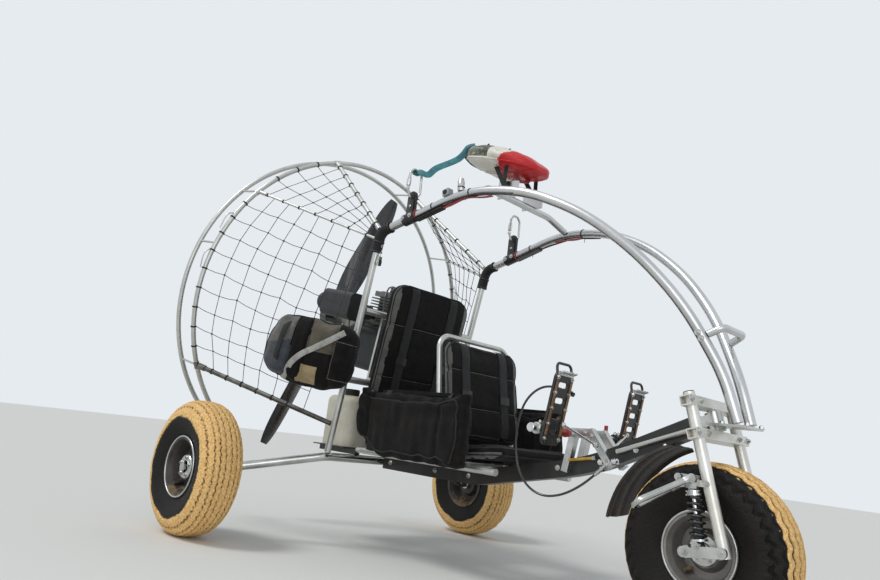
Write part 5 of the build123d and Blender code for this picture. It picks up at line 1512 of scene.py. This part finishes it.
# stowage bag on the right leg, v down: dark body, grey end panels, a tan patch and a pale strap across it
bagOut = (Vector((-0.72, 0, 0)) - thrust * 0.69).normalized()
bagAlong = (Vector((-0.69, 0, 0)) + thrust * 0.72).normalized()
bagLook = {
    "finish": "packNylon", "cap": 0.020, "crease": 0.0060,
    "seams": [(0, -0.52, 0.008, 0.007), (0, 0.04, 0.008, 0.007), (0, 0.36, 0.008, 0.007)],
    "panels": [("greyCordura", lambda p: p[0] > 0.36 and -p[1] > -0.05 + 0.5 * (0.9 - p[0])),
               ("blueGreyCloth", lambda p: p[0] > 0.36 and -p[1] <= -0.05 + 0.5 * (0.9 - p[0])),
               ("taupeDuck", lambda p: -0.52 < p[0] < 0.04 and p[1] < -0.02),
               ("tanDuck", lambda p: -0.28 < p[0] < 0.12 and 0.42 < p[1] < 0.95 and p[2] > 0)],
}


def bagForm(p, half):  # the outer end leans and the whole bag sags between its seams
    out = max(0, p.x / half.x)
    up = (1 - p.y / half.y) / 2
    sag = 0.014 * math.sin(math.pi * (p.x / half.x + 1) / 2) * (1 - up)
    return Vector((p.x * (1 - 0.20 * out * up), p.y * (1 - 0.06 * out) + sag - 0.010 * out * out,
                   p.z * (1 - 0.18 * out * up)))


bagAxes = (bagAlong, bagOut.cross(bagAlong), bagOut)
bag, shape = softBody("stowageBagSkin", "stowage_bag", bagAxes, bagLook, form=bagForm)
settle(bag, "frame", "bag", "stowage_bag")
paleRun = [(-0.66, -0.72), (-0.42, -0.44), (-0.16, -0.14), (0.10, 0.14), (0.26, 0.46), (0.38, 0.92)]
darkRun = [(0.60, 0.9), (0.60, 0.4), (0.58, -0.1), (0.55, -0.55), (0.52, -0.9)]
trim = [skinPatch("bagBand", shape, (0.06, 0.34), (-0.92, 0.84), 0.004, 0.0022, "packNylon", (12, 20)),
        skinPatch("bagPocket", shape, (-0.92, -0.54), (-0.50, 0.70), 0.006, 0.0024, "packNylon"),
        skinStrap("bagStrap", shape, paleRun, 0.020, 0.0020, "paleWebbing", 0.0085),
        skinStrap("bagStrapDark", shape, darkRun, 0.022, 0.0018, "blackWebbing", 0.0030)]
trim += [piping("bagPiping", shape, share, 84, 0.0028) for share in (-0.45, 0.15)]
pocketSeam = [(-0.90, -0.44), (-0.56, -0.44), (-0.56, 0.64), (-0.90, 0.64)]
trim.append(skinSeam("bagStitches", shape, pocketSeam, lift=0.0076))
settleSet("stowageBagTrim", trim, "frame", "bag")
print("stowage bag made")

# reserve container on its cradle: coated cloth drawn tight over the folded canopy
containerSlope = math.radians(14)
containerRun = Vector((0, -math.cos(containerSlope), -math.sin(containerSlope)))
containerLook = {"finish": "containerCloth", "cap": 0.010, "crease": 0.0030, "flat": 0.70, "short": 0.90,
                 "seams": [(0, -0.40, 0.004, 0.005), (0, 0.40, 0.004, 0.005), (1, 0.30, 0.004, 0.005)],
                 "panels": [("camoCloth",
                             lambda p: p[1] < -0.62 - 0.3 * p[2] or (p[2] < -0.12 and p[1] < -0.02))]}


def containerForm(p, half):  # pressed down on its cradle, with the tail end slack and crumpled
    slack = max(0, (-p.y / half.y - 0.45) / 0.55)
    crumple = noise.noise(p * 38) * 0.009 * slack
    short = -half.y + (p.y + half.y) * containerLook["short"]
    return Vector((p.x * (1 - 0.10 * slack), short + crumple, -half.z + (p.z + half.z) * containerLook["flat"]
                   - 0.018 * slack + crumple))


containerAxes = ((1, 0, 0), containerRun, containerRun.cross(Vector((-1, 0, 0))))
shell, shape = softBody("containerShell", "container", containerAxes, containerLook, form=containerForm)
settle(shell, "frame", "container_fabric", "container")
handle = [onSkin(shape, u, 0.36, lift)
          for u, lift in ((-0.26, 0.002), (-0.20, 0.012), (0, 0.020), (0.20, 0.012), (0.26, 0.002))]
trim = [piping("containerPiping", shape, -0.06, 90, 0.0026, "containerCloth", 0.0006),
        strap("containerTail", roundSkin(shape, 1, -0.66, 44, 0.0026), 0.025, 0.0016, containerRun,
              "blackWebbing", closed=True, steps=2),
        skinPatch("containerFlap", shape, (-0.34, 0.34), (-0.40, 0.06), 0.004, 0.0018, "containerCloth"),
        skinSeam("containerStitches", shape, [(-0.33, -0.36), (-0.33, 0.02), (0.33, 0.02), (0.33, -0.36)],
                 "redWebbing", lift=0.0052),
        strap("containerHandle", handle, 0.026, 0.004, containerRun, "redWebbing")]
settleSet("containerTrim", trim, "frame", "container_fabric")
print("container made")

# pedal cable: one free loop from the right pedal's barrel, out, down and back up to the bracket's lug
pedalCable = {
    "diameter": 0.007,
    "length": 0.695,
    "route": [
        # side, behind the front axle, up
        (-0.148, 0.371, 0.590), (-0.147, 0.420, 0.607), (-0.145, 0.478, 0.601), (-0.141, 0.529, 0.562),
        (-0.136, 0.555, 0.498), (-0.131, 0.561, 0.427), (-0.126, 0.548, 0.360), (-0.120, 0.512, 0.309),
        (-0.112, 0.458, 0.287), (-0.101, 0.400, 0.298), (-0.088, 0.351, 0.328), (-0.076, 0.315, 0.362),
        (-0.070, 0.297, 0.383),
    ],
}
cablePoints = [spot(side, wheelbase - behind, up) for side, behind, up in pedalCable["route"]]
cable = newCord("pedalCable", cablePoints, pedalCable["diameter"] / 2, "cableSheath", 12, 4)
settle(cable, "frame", "cable", "pedal_cable")
tuple(cablePoints[0])
ferrules = []
for near, after in ((cablePoints[0], cablePoints[1]), (cablePoints[-1], cablePoints[-2])):
    run = (after - near).normalized()
    ferrules += [
        lathe("cableFerrule", [(0.0005, 0.0037), (0.0005, 0.0062), (0.012, 0.0062), (0.014, 0.0052),
                               (0.020, 0.0052), (0.021, 0.0037)], near, run, "zincPlate", 24),
        sleeve("cableNut", -0.011, -0.006, 0.0071, 0.0092, near, run, "zincPlate", 6, 20),
    ]
settleSet("cableFerrules", ferrules, "frame", "cable")
print("pedal cable made")

# pedals: silver bolts, tan grip strips, a toothed claw and the linkage rods
pedal = {"side": 0.200, "foot": (0.389, 0.440), "top": (0.355, 0.640), "face": 0.0085, "bar": (1.040, 0.478)}
pedalFoot = {hand: spot(hand * pedal["side"], wheelbase - pedal["foot"][0], pedal["foot"][1])
             for hand in (-1, 1)}
pedalRun = (spot(0, wheelbase - pedal["top"][0], pedal["top"][1])
            - spot(0, wheelbase - pedal["foot"][0], pedal["foot"][1])).normalized()
pedalOut = Vector((1, 0, 0)).cross(pedalRun)
pedalFront = pedal["face"] if pedalOut.y < 0 else 0.0005
if pedalOut.y > 0:
    pedalOut = -pedalOut


def onPedal(hand, side, up, out=0.0):
    return pedalFoot[hand] + Vector((side, 0, 0)) + pedalRun * up + pedalOut * (pedalFront + out)


def onBar(side):
    return spot(side, *pedal["bar"])


rodEnd = [(-0.008, 0), (-0.007, 0.005), (0, 0.0082), (0.007, 0.005), (0.008, 0)]
for hand in (-1, 1):
    parts, heads = [], []
    for edge in (-1, 1):
        heads += [(onPedal(hand, edge * 0.033, up), pedalOut) for up in (0.014, 0.056, 0.100, 0.144, 0.188)]
        grip = [onPedal(hand, edge * 0.0335, up, 0.0012) for up in (0.024, 0.075, 0.125, 0.178)]
        parts.append(strap("pedalGrip", grip, 0.009, 0.0028, (1, 0, 0), "tanLeather", steps=2))
    parts.append(bolts("pedalBolts", heads, 0.0085, 0.0042))
    for side in (-0.030, -0.015, 0, 0.015, 0.030):  # teeth of the claw along the top edge
        root, tip = onPedal(hand, side, 0.198, -0.002), onPedal(hand, side, 0.207, 0.016)
        parts.append(bar("pedalTooth", root, tip, 0.0032, "zincPlate", 8))
    claw = [onPedal(hand, side, 0.199, 0.001) for side in (-0.036, -0.012, 0.012, 0.036)]
    clamp = onBar(hand * pedal["side"])
    screws = [(clamp + Vector((hand * x, 0, 0.0165)), (0, 0, 1)) for x in (-0.010, 0.010)]
    inner = spot(hand * 0.128, wheelbase - 0.415, 0.478)
    start = onPedal(hand, -hand * 0.028, 0.060, 0.008)
    end = spot(hand * 0.052, wheelbase - 0.330, 0.452)
    parts += [
        strap("pedalClaw", claw, 0.012, 0.003, pedalRun, "zincPlate", steps=2),
        bolts("pedalClampBolts", screws, 0.0095, 0.005),
        bar("pedalCollar", clamp + Vector((hand * 0.019, 0, 0)), clamp + Vector((hand * 0.030, 0, 0)), 0.0165,
            "zincPlate", 24),
        bar("pedalStop", inner + Vector((0, -0.004, 0.012)), inner + Vector((0, -0.004, 0.040)), 0.006,
            "redEnamel", 16),
        sleeve("pedalStopCollar", 0, 0.026, 0.0105, 0.014, inner - Vector((0.013, 0, 0)), (1, 0, 0),
               "redEnamel"),
        # push rod with a ball joint at each end
        bar("pushRod", start, end, 0.0036, "chrome", 14),
        lathe("rodEnd", rodEnd, start, end - start, "zincPlate", 18),
        lathe("rodEnd", rodEnd, end, end - start, "zincPlate", 18),
    ]
    settleSet(("rightPedalFittings", "leftPedalFittings")[hand > 0], parts, "frame", "pedal")

# bracket and heel bar: bolts, red grips, bronze clips, a yellow rod and three bright adjusters
bracketParts, heads = [], []
for hand in (-1, 1):
    for behind, up in ((0.295, 0.412), (0.352, 0.478), (0.375, 0.485), (0.410, 0.484)):
        heads.append((spot(hand * 0.045, wheelbase - behind, up), (hand, 0, 0)))
    bracketParts += [
        lathe("redGrip", [(-0.020, 0.0105), (-0.020, 0.0130), (-0.004, 0.0130), (-0.002, 0.0145),
                          (0.004, 0.0145), (0.006, 0.0130), (0.016, 0.0130), (0.016, 0.0105)],
              onBar(hand * 0.085), (1, 0, 0), "redEnamel", 24),
        sleeve("bronzeClip", -0.007, 0.007, 0.0105, 0.0135, onBar(hand * 0.112), (1, 0, 0), "bronzeAnodised"),
        bar("heelKnob", onBar(hand * 0.246), onBar(hand * 0.254), 0.013, "chrome", 24),
    ]
rodRun = spot(0, 1.120, 0.414) - spot(0, 1.034, 0.400)
bracketParts += [
    bar("yellowRod", spot(-0.047, 1.034, 0.400), spot(-0.0475, 1.120, 0.414), 0.0042, "yellowEnamel", 14),
    lathe("yellowRodEnd", [(0, 0), (0, 0.0062), (0.012, 0.0062), (0.013, 0)], spot(-0.0475, 1.116, 0.4135),
          rodRun, "zincPlate", 18),
]
for i, ahead in enumerate((1.140, 1.162, 1.184)):  # on the keel's right face
    bracketParts.append(lathe("adjuster", [(0, 0), (0, 0.0085), (0.006, 0.0085), (0.007, 0.0055),
                                           (0.016, 0.0055), (0.017, 0.0078), (0.022, 0.0078), (0.023, 0)],
                              spot(-0.0228, ahead, 0.405 + 0.004 * i), (-1, 0, 0), "chrome", 18))
bracketParts.append(bolts("bracketBolts", heads, 0.009, 0.0045))
settleSet("bracketFittings", bracketParts, "frame", "polished_tube")
print("pedal fittings made")

# hang points: forked cheeks, pins, the carabiners' gates and keeper sleeves
hangSize = {"plate": 0.004, "lowHole": 0.044, "topHole": 0.078, "ringRise": 0.0768}


def octagon(reach, corner):
    return [(-reach, 0), (-corner, corner), (0, reach), (corner, corner), (reach, 0), (corner, -corner),
            (0, -reach), (-corner, -corner)]


for hand in (-1, 1):
    centre, back = hangPoint(hand)
    parts, heads = [], []
    for face in (-1, 1):
        out = Vector((face, 0, 0))
        skin = centre + out * (hangSize["plate"] + 0.0004)
        heads.append((skin + Vector((0, 0, hangSize["lowHole"])), out))
        for along in (-0.017, 0.017):  # clamp screws low on the clamp's side
            heads.append((centre + out * 0.0208 + back * along, out))
        # a cheek from the clamp up to the hole, with a boss round the pin
        cheek = [skin + out * 0.002 + Vector((0, 0, z)) for z in (0.018, 0.030, 0.050, 0.066)]
        parts += [
            lathe("hangBoss", [(0, 0.0064), (0, 0.0135), (0.0035, 0.0125), (0.0035, 0.0064)],
                  skin + Vector((0, 0, hangSize["topHole"])), out, "powderBlack", 28),
            strap("hangCheek", cheek, 0.030, 0.004, (0, 1, 0), "powderBlack", steps=3),
        ]
    keeper = [centre + back * (-0.034) + Vector((x, 0, z)) for x, z in octagon(0.0185, 0.013)]
    parts += [bolts("hangBolts", heads, 0.0095, 0.0042),
              hose("redKeeper", keeper, 0.0026, "redWebbing", resolution=4, closed=True)]
    settleSet(("rightHangFittings", "leftHangFittings")[hand > 0], parts, "frame", "dark_metal")
    low = centre + Vector((0, 0, hangSize["ringRise"]))
    gate = [
        bar("carabinerGate", low + Vector((-0.0295, 0, 0.034)), low + Vector((-0.0277, 0, 0.070)), 0.0064,
            "zincPlate", 22),
        sleeve("gateSleeve", 0, 0.022, 0.0065, 0.0082, low + Vector((-0.0293, 0, 0.038)), (0.04, 0, 1),
               "chrome", 22),
        bar("gateHinge", low + Vector((-0.030, -0.0072, 0.026)), low + Vector((-0.030, 0.0072, 0.026)), 0.0034,
            "zincPlate", 12),
    ]
    settleSet(("rightCarabinerGate", "leftCarabinerGate")[hand > 0], gate, "frame", "carabiner")

# bridle webbing from the right hang point to the container, and the container's tie-down straps
ring = hangPoint(-1)[0] + Vector((0, 0, hangSize["ringRise"] + 0.098))
tail = onSkin(shape, -0.62, -0.60, 0.001, -1)
bridle = [ring + Vector((0, 0, -0.008)), ring + Vector((0.012, -0.008, 0.001)),
          ring + Vector((0.036, -0.024, -0.002)), ring.lerp(tail, 0.35) + Vector((0, 0, -0.022)),
          ring.lerp(tail, 0.72) + Vector((0, 0, -0.024)),
          tail + Vector((-0.012, 0.020, -0.008)), tail]
loop = [ring + Vector(step) for step in ((0, 0.006, -0.012), (0, 0.010, 0.0), (0.002, 0, 0.0075),
                                         (0.004, -0.010, 0.0), (0.006, -0.016, -0.012))]
straps = [strap("bridleWebbing", bridle, 0.024, 0.0022, (0.3, 0.1, 1), "tealWebbing", steps=10),
          strap("bridleLoop", loop, 0.022, 0.0022, (1, 0, 0), "tealWebbing", steps=6)]
for hand in (-1, 1):  # tie-downs from the shell's flanks to the cradle's tube
    for step in (-0.06, 0.05):
        top = onSkin(shape, hand * 0.62, step / 0.2, 0.0015, -1)
        foot = boxMiddle("cross_tube") + Vector((hand * 0.090, step * 0.15, 0.010))
        down = [top, top.lerp(foot, 0.35), top.lerp(foot, 0.7), foot]
        straps.append(strap("tieDown", down, 0.018, 0.0018, (0, 1, 0), "blackWebbing", steps=4))
settleSet("bridleAndTies", straps, "frame", "container_fabric")


# things clipped to the arcs: a grey box and a silver can on the right arc, tape below it, cable ties and a line
def onArc(hand, share):  # the arc's point, its direction and the way up from it
    at, run = atShare(arcLines[hand], share)
    over = Vector((1, 0, 0)).cross(run).normalized()
    return at, run, over if over.z > 0 else -over


at, run, over = onArc(-1, 0.822)
boxCentre = at + over * 0.028
boxBody = bmesh.new()
bmesh.ops.create_cube(boxBody, size=1)
bmesh.ops.bevel(boxBody, geom=boxBody.edges[:], offset=0.09, segments=3, profile=0.5, affect="EDGES")
boxBody.transform(Matrix((
    (0.026, 0, 0, boxCentre.x),
    (0, run.y * 0.030, over.y * 0.024, boxCentre.y),
    (0, run.z * 0.030, over.z * 0.024, boxCentre.z),
    (0, 0, 0, 1),
)))
arcBox = newPiece("arcBox", [], finish="greyCase")
boxBody.to_mesh(arcBox.data)
boxBody.free()
can = onArc(-1, 0.788)[0] + Vector((0, 0, 0.0165))
clip = [can + Vector((x, y, 0.014)) for x, y in octagon(0.0125, 0.009)]
arcParts = [
    closeUp(arcBox),
    lathe("boxLens", [(0, 0), (0, 0.0085), (0.0025, 0.0085), (0.003, 0.0065), (0.0015, 0.006), (0.0015, 0)],
          boxCentre + Vector((-0.0131, 0, 0)), (-1, 0, 0), "mouldedBlack", 24),
    lathe("arcCan", [(0, 0), (0, 0.0105), (0.004, 0.0115), (0.034, 0.0115), (0.037, 0.0095), (0.044, 0.0095),
                     (0.046, 0.008), (0.046, 0)], can, (0, 0.1, 1), "zincPlate", 32),
    hose("canClip", clip, 0.0016, "mouldedBlack", resolution=4, closed=True),
]
for hand in (-1, 1):
    tape = []
    for i in range(6 if hand > 0 else 9):
        at, run, over = onArc(hand, 0.700 + 0.017 * i)
        tape.append(at - over * (0.0178 + 0.0035 * math.sin(i * 1.1)))
    line = []
    for i in range(9):
        at, run, over = onArc(hand, 0.645 + 0.034 * i)
        line.append(at + Vector((hand * 0.014, 0, 0)) - over * (0.0125 + 0.002 * math.sin(i * 1.9)))
    arcParts += [strap("arcTape", tape, 0.014, 0.0018, (1, 0, 0), "redWebbing", steps=4),
                 hose("arcCable", line, 0.0032, "cableSheath", resolution=5)]
    places = [atShare(arcLines[hand], share) for share in ((0.695, 0.865) if hand > 0 else (0.760, 0.865))]
    for at, run in places:
        end = at + Vector((hand * 0.012, 0, -0.013))
        tip = end + Vector((hand * 0.004, 0.004, -0.016))
        arcParts.append(bar("tieTail", end, tip, 0.0011, "mouldedBlack", 6))
    arcParts.append(ties("cableTies", places, 0.0164, 0.0009, 2.2, "mouldedBlack"))
settleSet("arcFittings", arcParts, "frame", "dark_metal")

# pulley on its chain below the right mast corner, and straps over the corner pads
pulleyParts = []
hook = corners[-1] + Vector((0.004, -0.004, -0.040))
for i in range(3):
    middle = hook - Vector((0, 0, 0.011 + 0.017 * i))
    wide, tall = 0.0055, 0.0105
    flat = i % 2
    flatWay = Vector((flat, 1 - flat, 0)) * wide
    linkPoints = [middle + flatWay * math.cos(turn) + Vector((0, 0, math.sin(turn) * tall))
                  for turn in turns(10)]
    pulleyParts.append(hose("chainLink", linkPoints, 0.0017, "zincPlate", resolution=4, closed=True))
hub = hook - Vector((0, 0, 0.074))
pulleyParts.append(lathe("pulleyWheel", [(-0.005, 0.003), (-0.005, 0.012), (-0.0025, 0.012), (0, 0.0095),
                                         (0.0025, 0.012), (0.005, 0.012), (0.005, 0.003)],
                         hub, (1, 0, 0), "mouldedBlack", 32))
for face in (-1, 1):
    cheek = [hub + Vector((face * 0.0065, 0, z)) for z in (-0.012, 0, 0.012, 0.022)]
    pulleyParts += [strap("pulleyCheek", cheek, 0.016, 0.0018, (0, 1, 0), "zincPlate", steps=3),
                    sleeve("pulleyPin", 0, 0.003, 0, 0.0038, hub + Vector((face * 0.0072, 0, 0)), (face, 0, 0),
                           "chrome", 14)]
cornerWraps = []
for hand in (-1, 1):
    down = (onLeg(hand, 0.5) - corners[hand]).normalized()
    ahead = arcLines[hand][-2] - arcLines[hand][-1]
    cornerWraps += [(corners[hand] + down * d, down) for d in (0.038, 0.074)]
    cornerWraps.append((arcLines[hand][-1] + ahead.normalized() * 0.002, ahead))
pulleyParts.append(ties("cornerClips", cornerWraps, 0.0200, 0.0012, 2.6, "engineBlack"))
settleSet("mastFittings", pulleyParts, "frame", "plated")
print("top hardware made")

# engine: plug and lead, and the bolts of the head, the case and the hub
motor = {"back": -0.440, "headHigh": 0.118, "boltRing": 0.030, "hubBack": -0.069, "hubThick": 0.044}


def ringHeads(count, first, radius, place):  # bolts on a circle; place gives the point for two distances
    return [place(math.cos(turn + first) * radius, math.sin(turn + first) * radius) for turn in turns(count)]


plugTop = inUnit(0, motor["back"], 0.150)
lead = [plugTop, plugTop + unitUp * 0.016, inUnit(-0.028, -0.452, 0.172), inUnit(-0.062, -0.478, 0.140),
        inUnit(-0.076, -0.505, 0.060), inUnit(-0.066, -0.518, 0.005), inUnit(-0.060, -0.520, -0.020)]
headHeads = ringHeads(4, math.pi / 4, motor["boltRing"],
                      lambda x, y: (inUnit(x, motor["back"] + y, motor["headHigh"]), unitUp))
caseHeads = ringHeads(6, 0.3, 0.060, lambda x, y: (inUnit(x, -0.5405, -0.095 + y), -thrust))
engineParts = [
    hose("plugLead", lead, 0.0035, "cableSheath", resolution=8),
    lathe("plugCap", [(-0.020, 0.006), (-0.018, 0.0095), (0.006, 0.0095), (0.014, 0.0065), (0.018, 0.0045),
                      (0.018, 0)], plugTop, unitUp, "mouldedBlack", 24),
    bolts("headBolts", headHeads, 0.010, 0.006),
    bolts("caseBolts", caseHeads, 0.008, 0.004),
]
settleSet("engineFittings", engineParts, "frame", "engine_metal")

hubFace = inUnit(0, motor["hubBack"], 0) + thrust * (motor["hubThick"] / 2)
hubTop = hubFace + thrust * 0.0045
hubHeads = ringHeads(6, 0, 0.034, lambda x, y: (hubTop + Vector((x, 0, 0)) + unitUp * y, thrust))
hubParts = [lathe("hubPlate", [(0, 0), (0, 0.050), (0.004, 0.050), (0.0045, 0.049), (0.0045, 0)],
                  hubFace + thrust * 0.0002, thrust, "zincPlate"),
            bolts("hubBolts", hubHeads, 0.010, 0.006)]
settleSet("propellerHub", hubParts, "propeller", "blade")

# tank: ribbed cap, two hold-down straps and a fuel line to the engine
tankLow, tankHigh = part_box("fuel_tank")
tankTop = tankHigh.z - 0.028
tankMiddle = (tankLow + tankHigh) / 2
front, rear = tankLow.y - 0.0015, tankHigh.y + 0.0015
upFront = [(0, tankLow.z + 0.002), (0, tankLow.z + 0.08), (0, tankTop - 0.032), (0.008, tankTop - 0.006),
           (0.030, tankTop + 0.0022)]
strapRun = [(front + y, z) for y, z in upFront] + [(tankMiddle.y, tankTop + 0.0022)]
strapRun += [(rear - y, z) for y, z in reversed(upFront)]
tankParts = []
for side in (-0.062, 0.105):
    over = [Vector((side, y, z)) for y, z in strapRun]
    tankParts.append(strap("tankStrap", over, 0.026, 0.002, (1, 0, 0), "blackWebbing", steps=5))
capMiddle = Vector((-0.110, tankMiddle.y, tankTop))
for turn in turns(20):
    root = capMiddle + Vector((math.cos(turn), math.sin(turn), 0)) * 0.0283
    tankParts.append(bar("capRib", root + Vector((0, 0, 0.006)), root + Vector((0, 0, 0.026)), 0.0022,
                         "mouldedBlack", 6))
outlet = Vector((0.030, tankMiddle.y, tankTop))
carburettor = boxMiddle("intake")
fuelRun = [outlet + Vector(step) for step in ((0, 0, 0.016), (0, 0, 0.045), (-0.020, 0.030, 0.120),
                                              (-0.060, 0.080, 0.170))]
fuelRun += [carburettor + Vector((0.030, 0.010, -0.120)), carburettor + Vector((0.022, 0.004, -0.050))]
tankParts += [
    lathe("capTop", [(0.0285, 0), (0.0285, 0.0275), (0.0272, 0.0292), (0.004, 0.0292), (0.004, 0.0281)],
          capMiddle, (0, 0, 1), "mouldedBlack", 40),
    lathe("tankOutlet", [(0, 0), (0, 0.010), (0.006, 0.010), (0.007, 0.005), (0.018, 0.005), (0.018, 0)], outlet,
          (0, 0, 1), "bronzeAnodised", 24),
    hose("fuelLine", fuelRun, 0.0036, "fuelHose", resolution=10),
]
settleSet("tankFittings", tankParts, "frame", "tank")
print("engine, hub and tank fittings made")


# small fasteners on the steering head's plate, the keel and the arcs' joint
def seatOn(node, place):  # the nearest point of a node's surface and the way it faces
    found, point, normal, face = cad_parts[node].closest_point_on_mesh(place)
    return point, normal


heads = [seatOn("steering_head", spot(side, ahead, 0.560))
         for side in (-0.045, 0.045) for ahead in (1.492, 1.556)]
for hand in (-1, 1):
    for share in (0.150, 0.162):
        heads.append((atShare(arcLines[hand], share)[0] + Vector((hand * 0.0152, 0, 0)), (hand, 0, 0)))
for ahead, up in ((0.22, 0.300), (0.46, 0.300), (0.62, 0.302), (0.98, 0.372), (1.24, 0.452)):
    heads += [seatOn("keel", spot(hand * 0.06, ahead, up)) for hand in (-1, 1)]
settle(bolts("frameBolts", heads, 0.010, 0.0055), "frame", "plated")
crimps = []
for hand in (-1, 1):
    for side, foot, tip in ((0.262, (1.470, 0.402), (1.384, 0.326)), (0.226, (1.436, 0.382), (1.362, 0.312))):
        root = spot(hand * 0.1414, *foot)
        away = (spot(hand * side, *tip) - root).normalized()
        crimps.append(lathe("loopCrimp", [(0.004, 0.0081), (0.004, 0.0105), (0.024, 0.0105), (0.030, 0.0088),
                                          (0.030, 0.0081)], root, away, "zincPlate", 24))
settleSet("loopCrimps", crimps, "fork", "plated")
print("fasteners made")
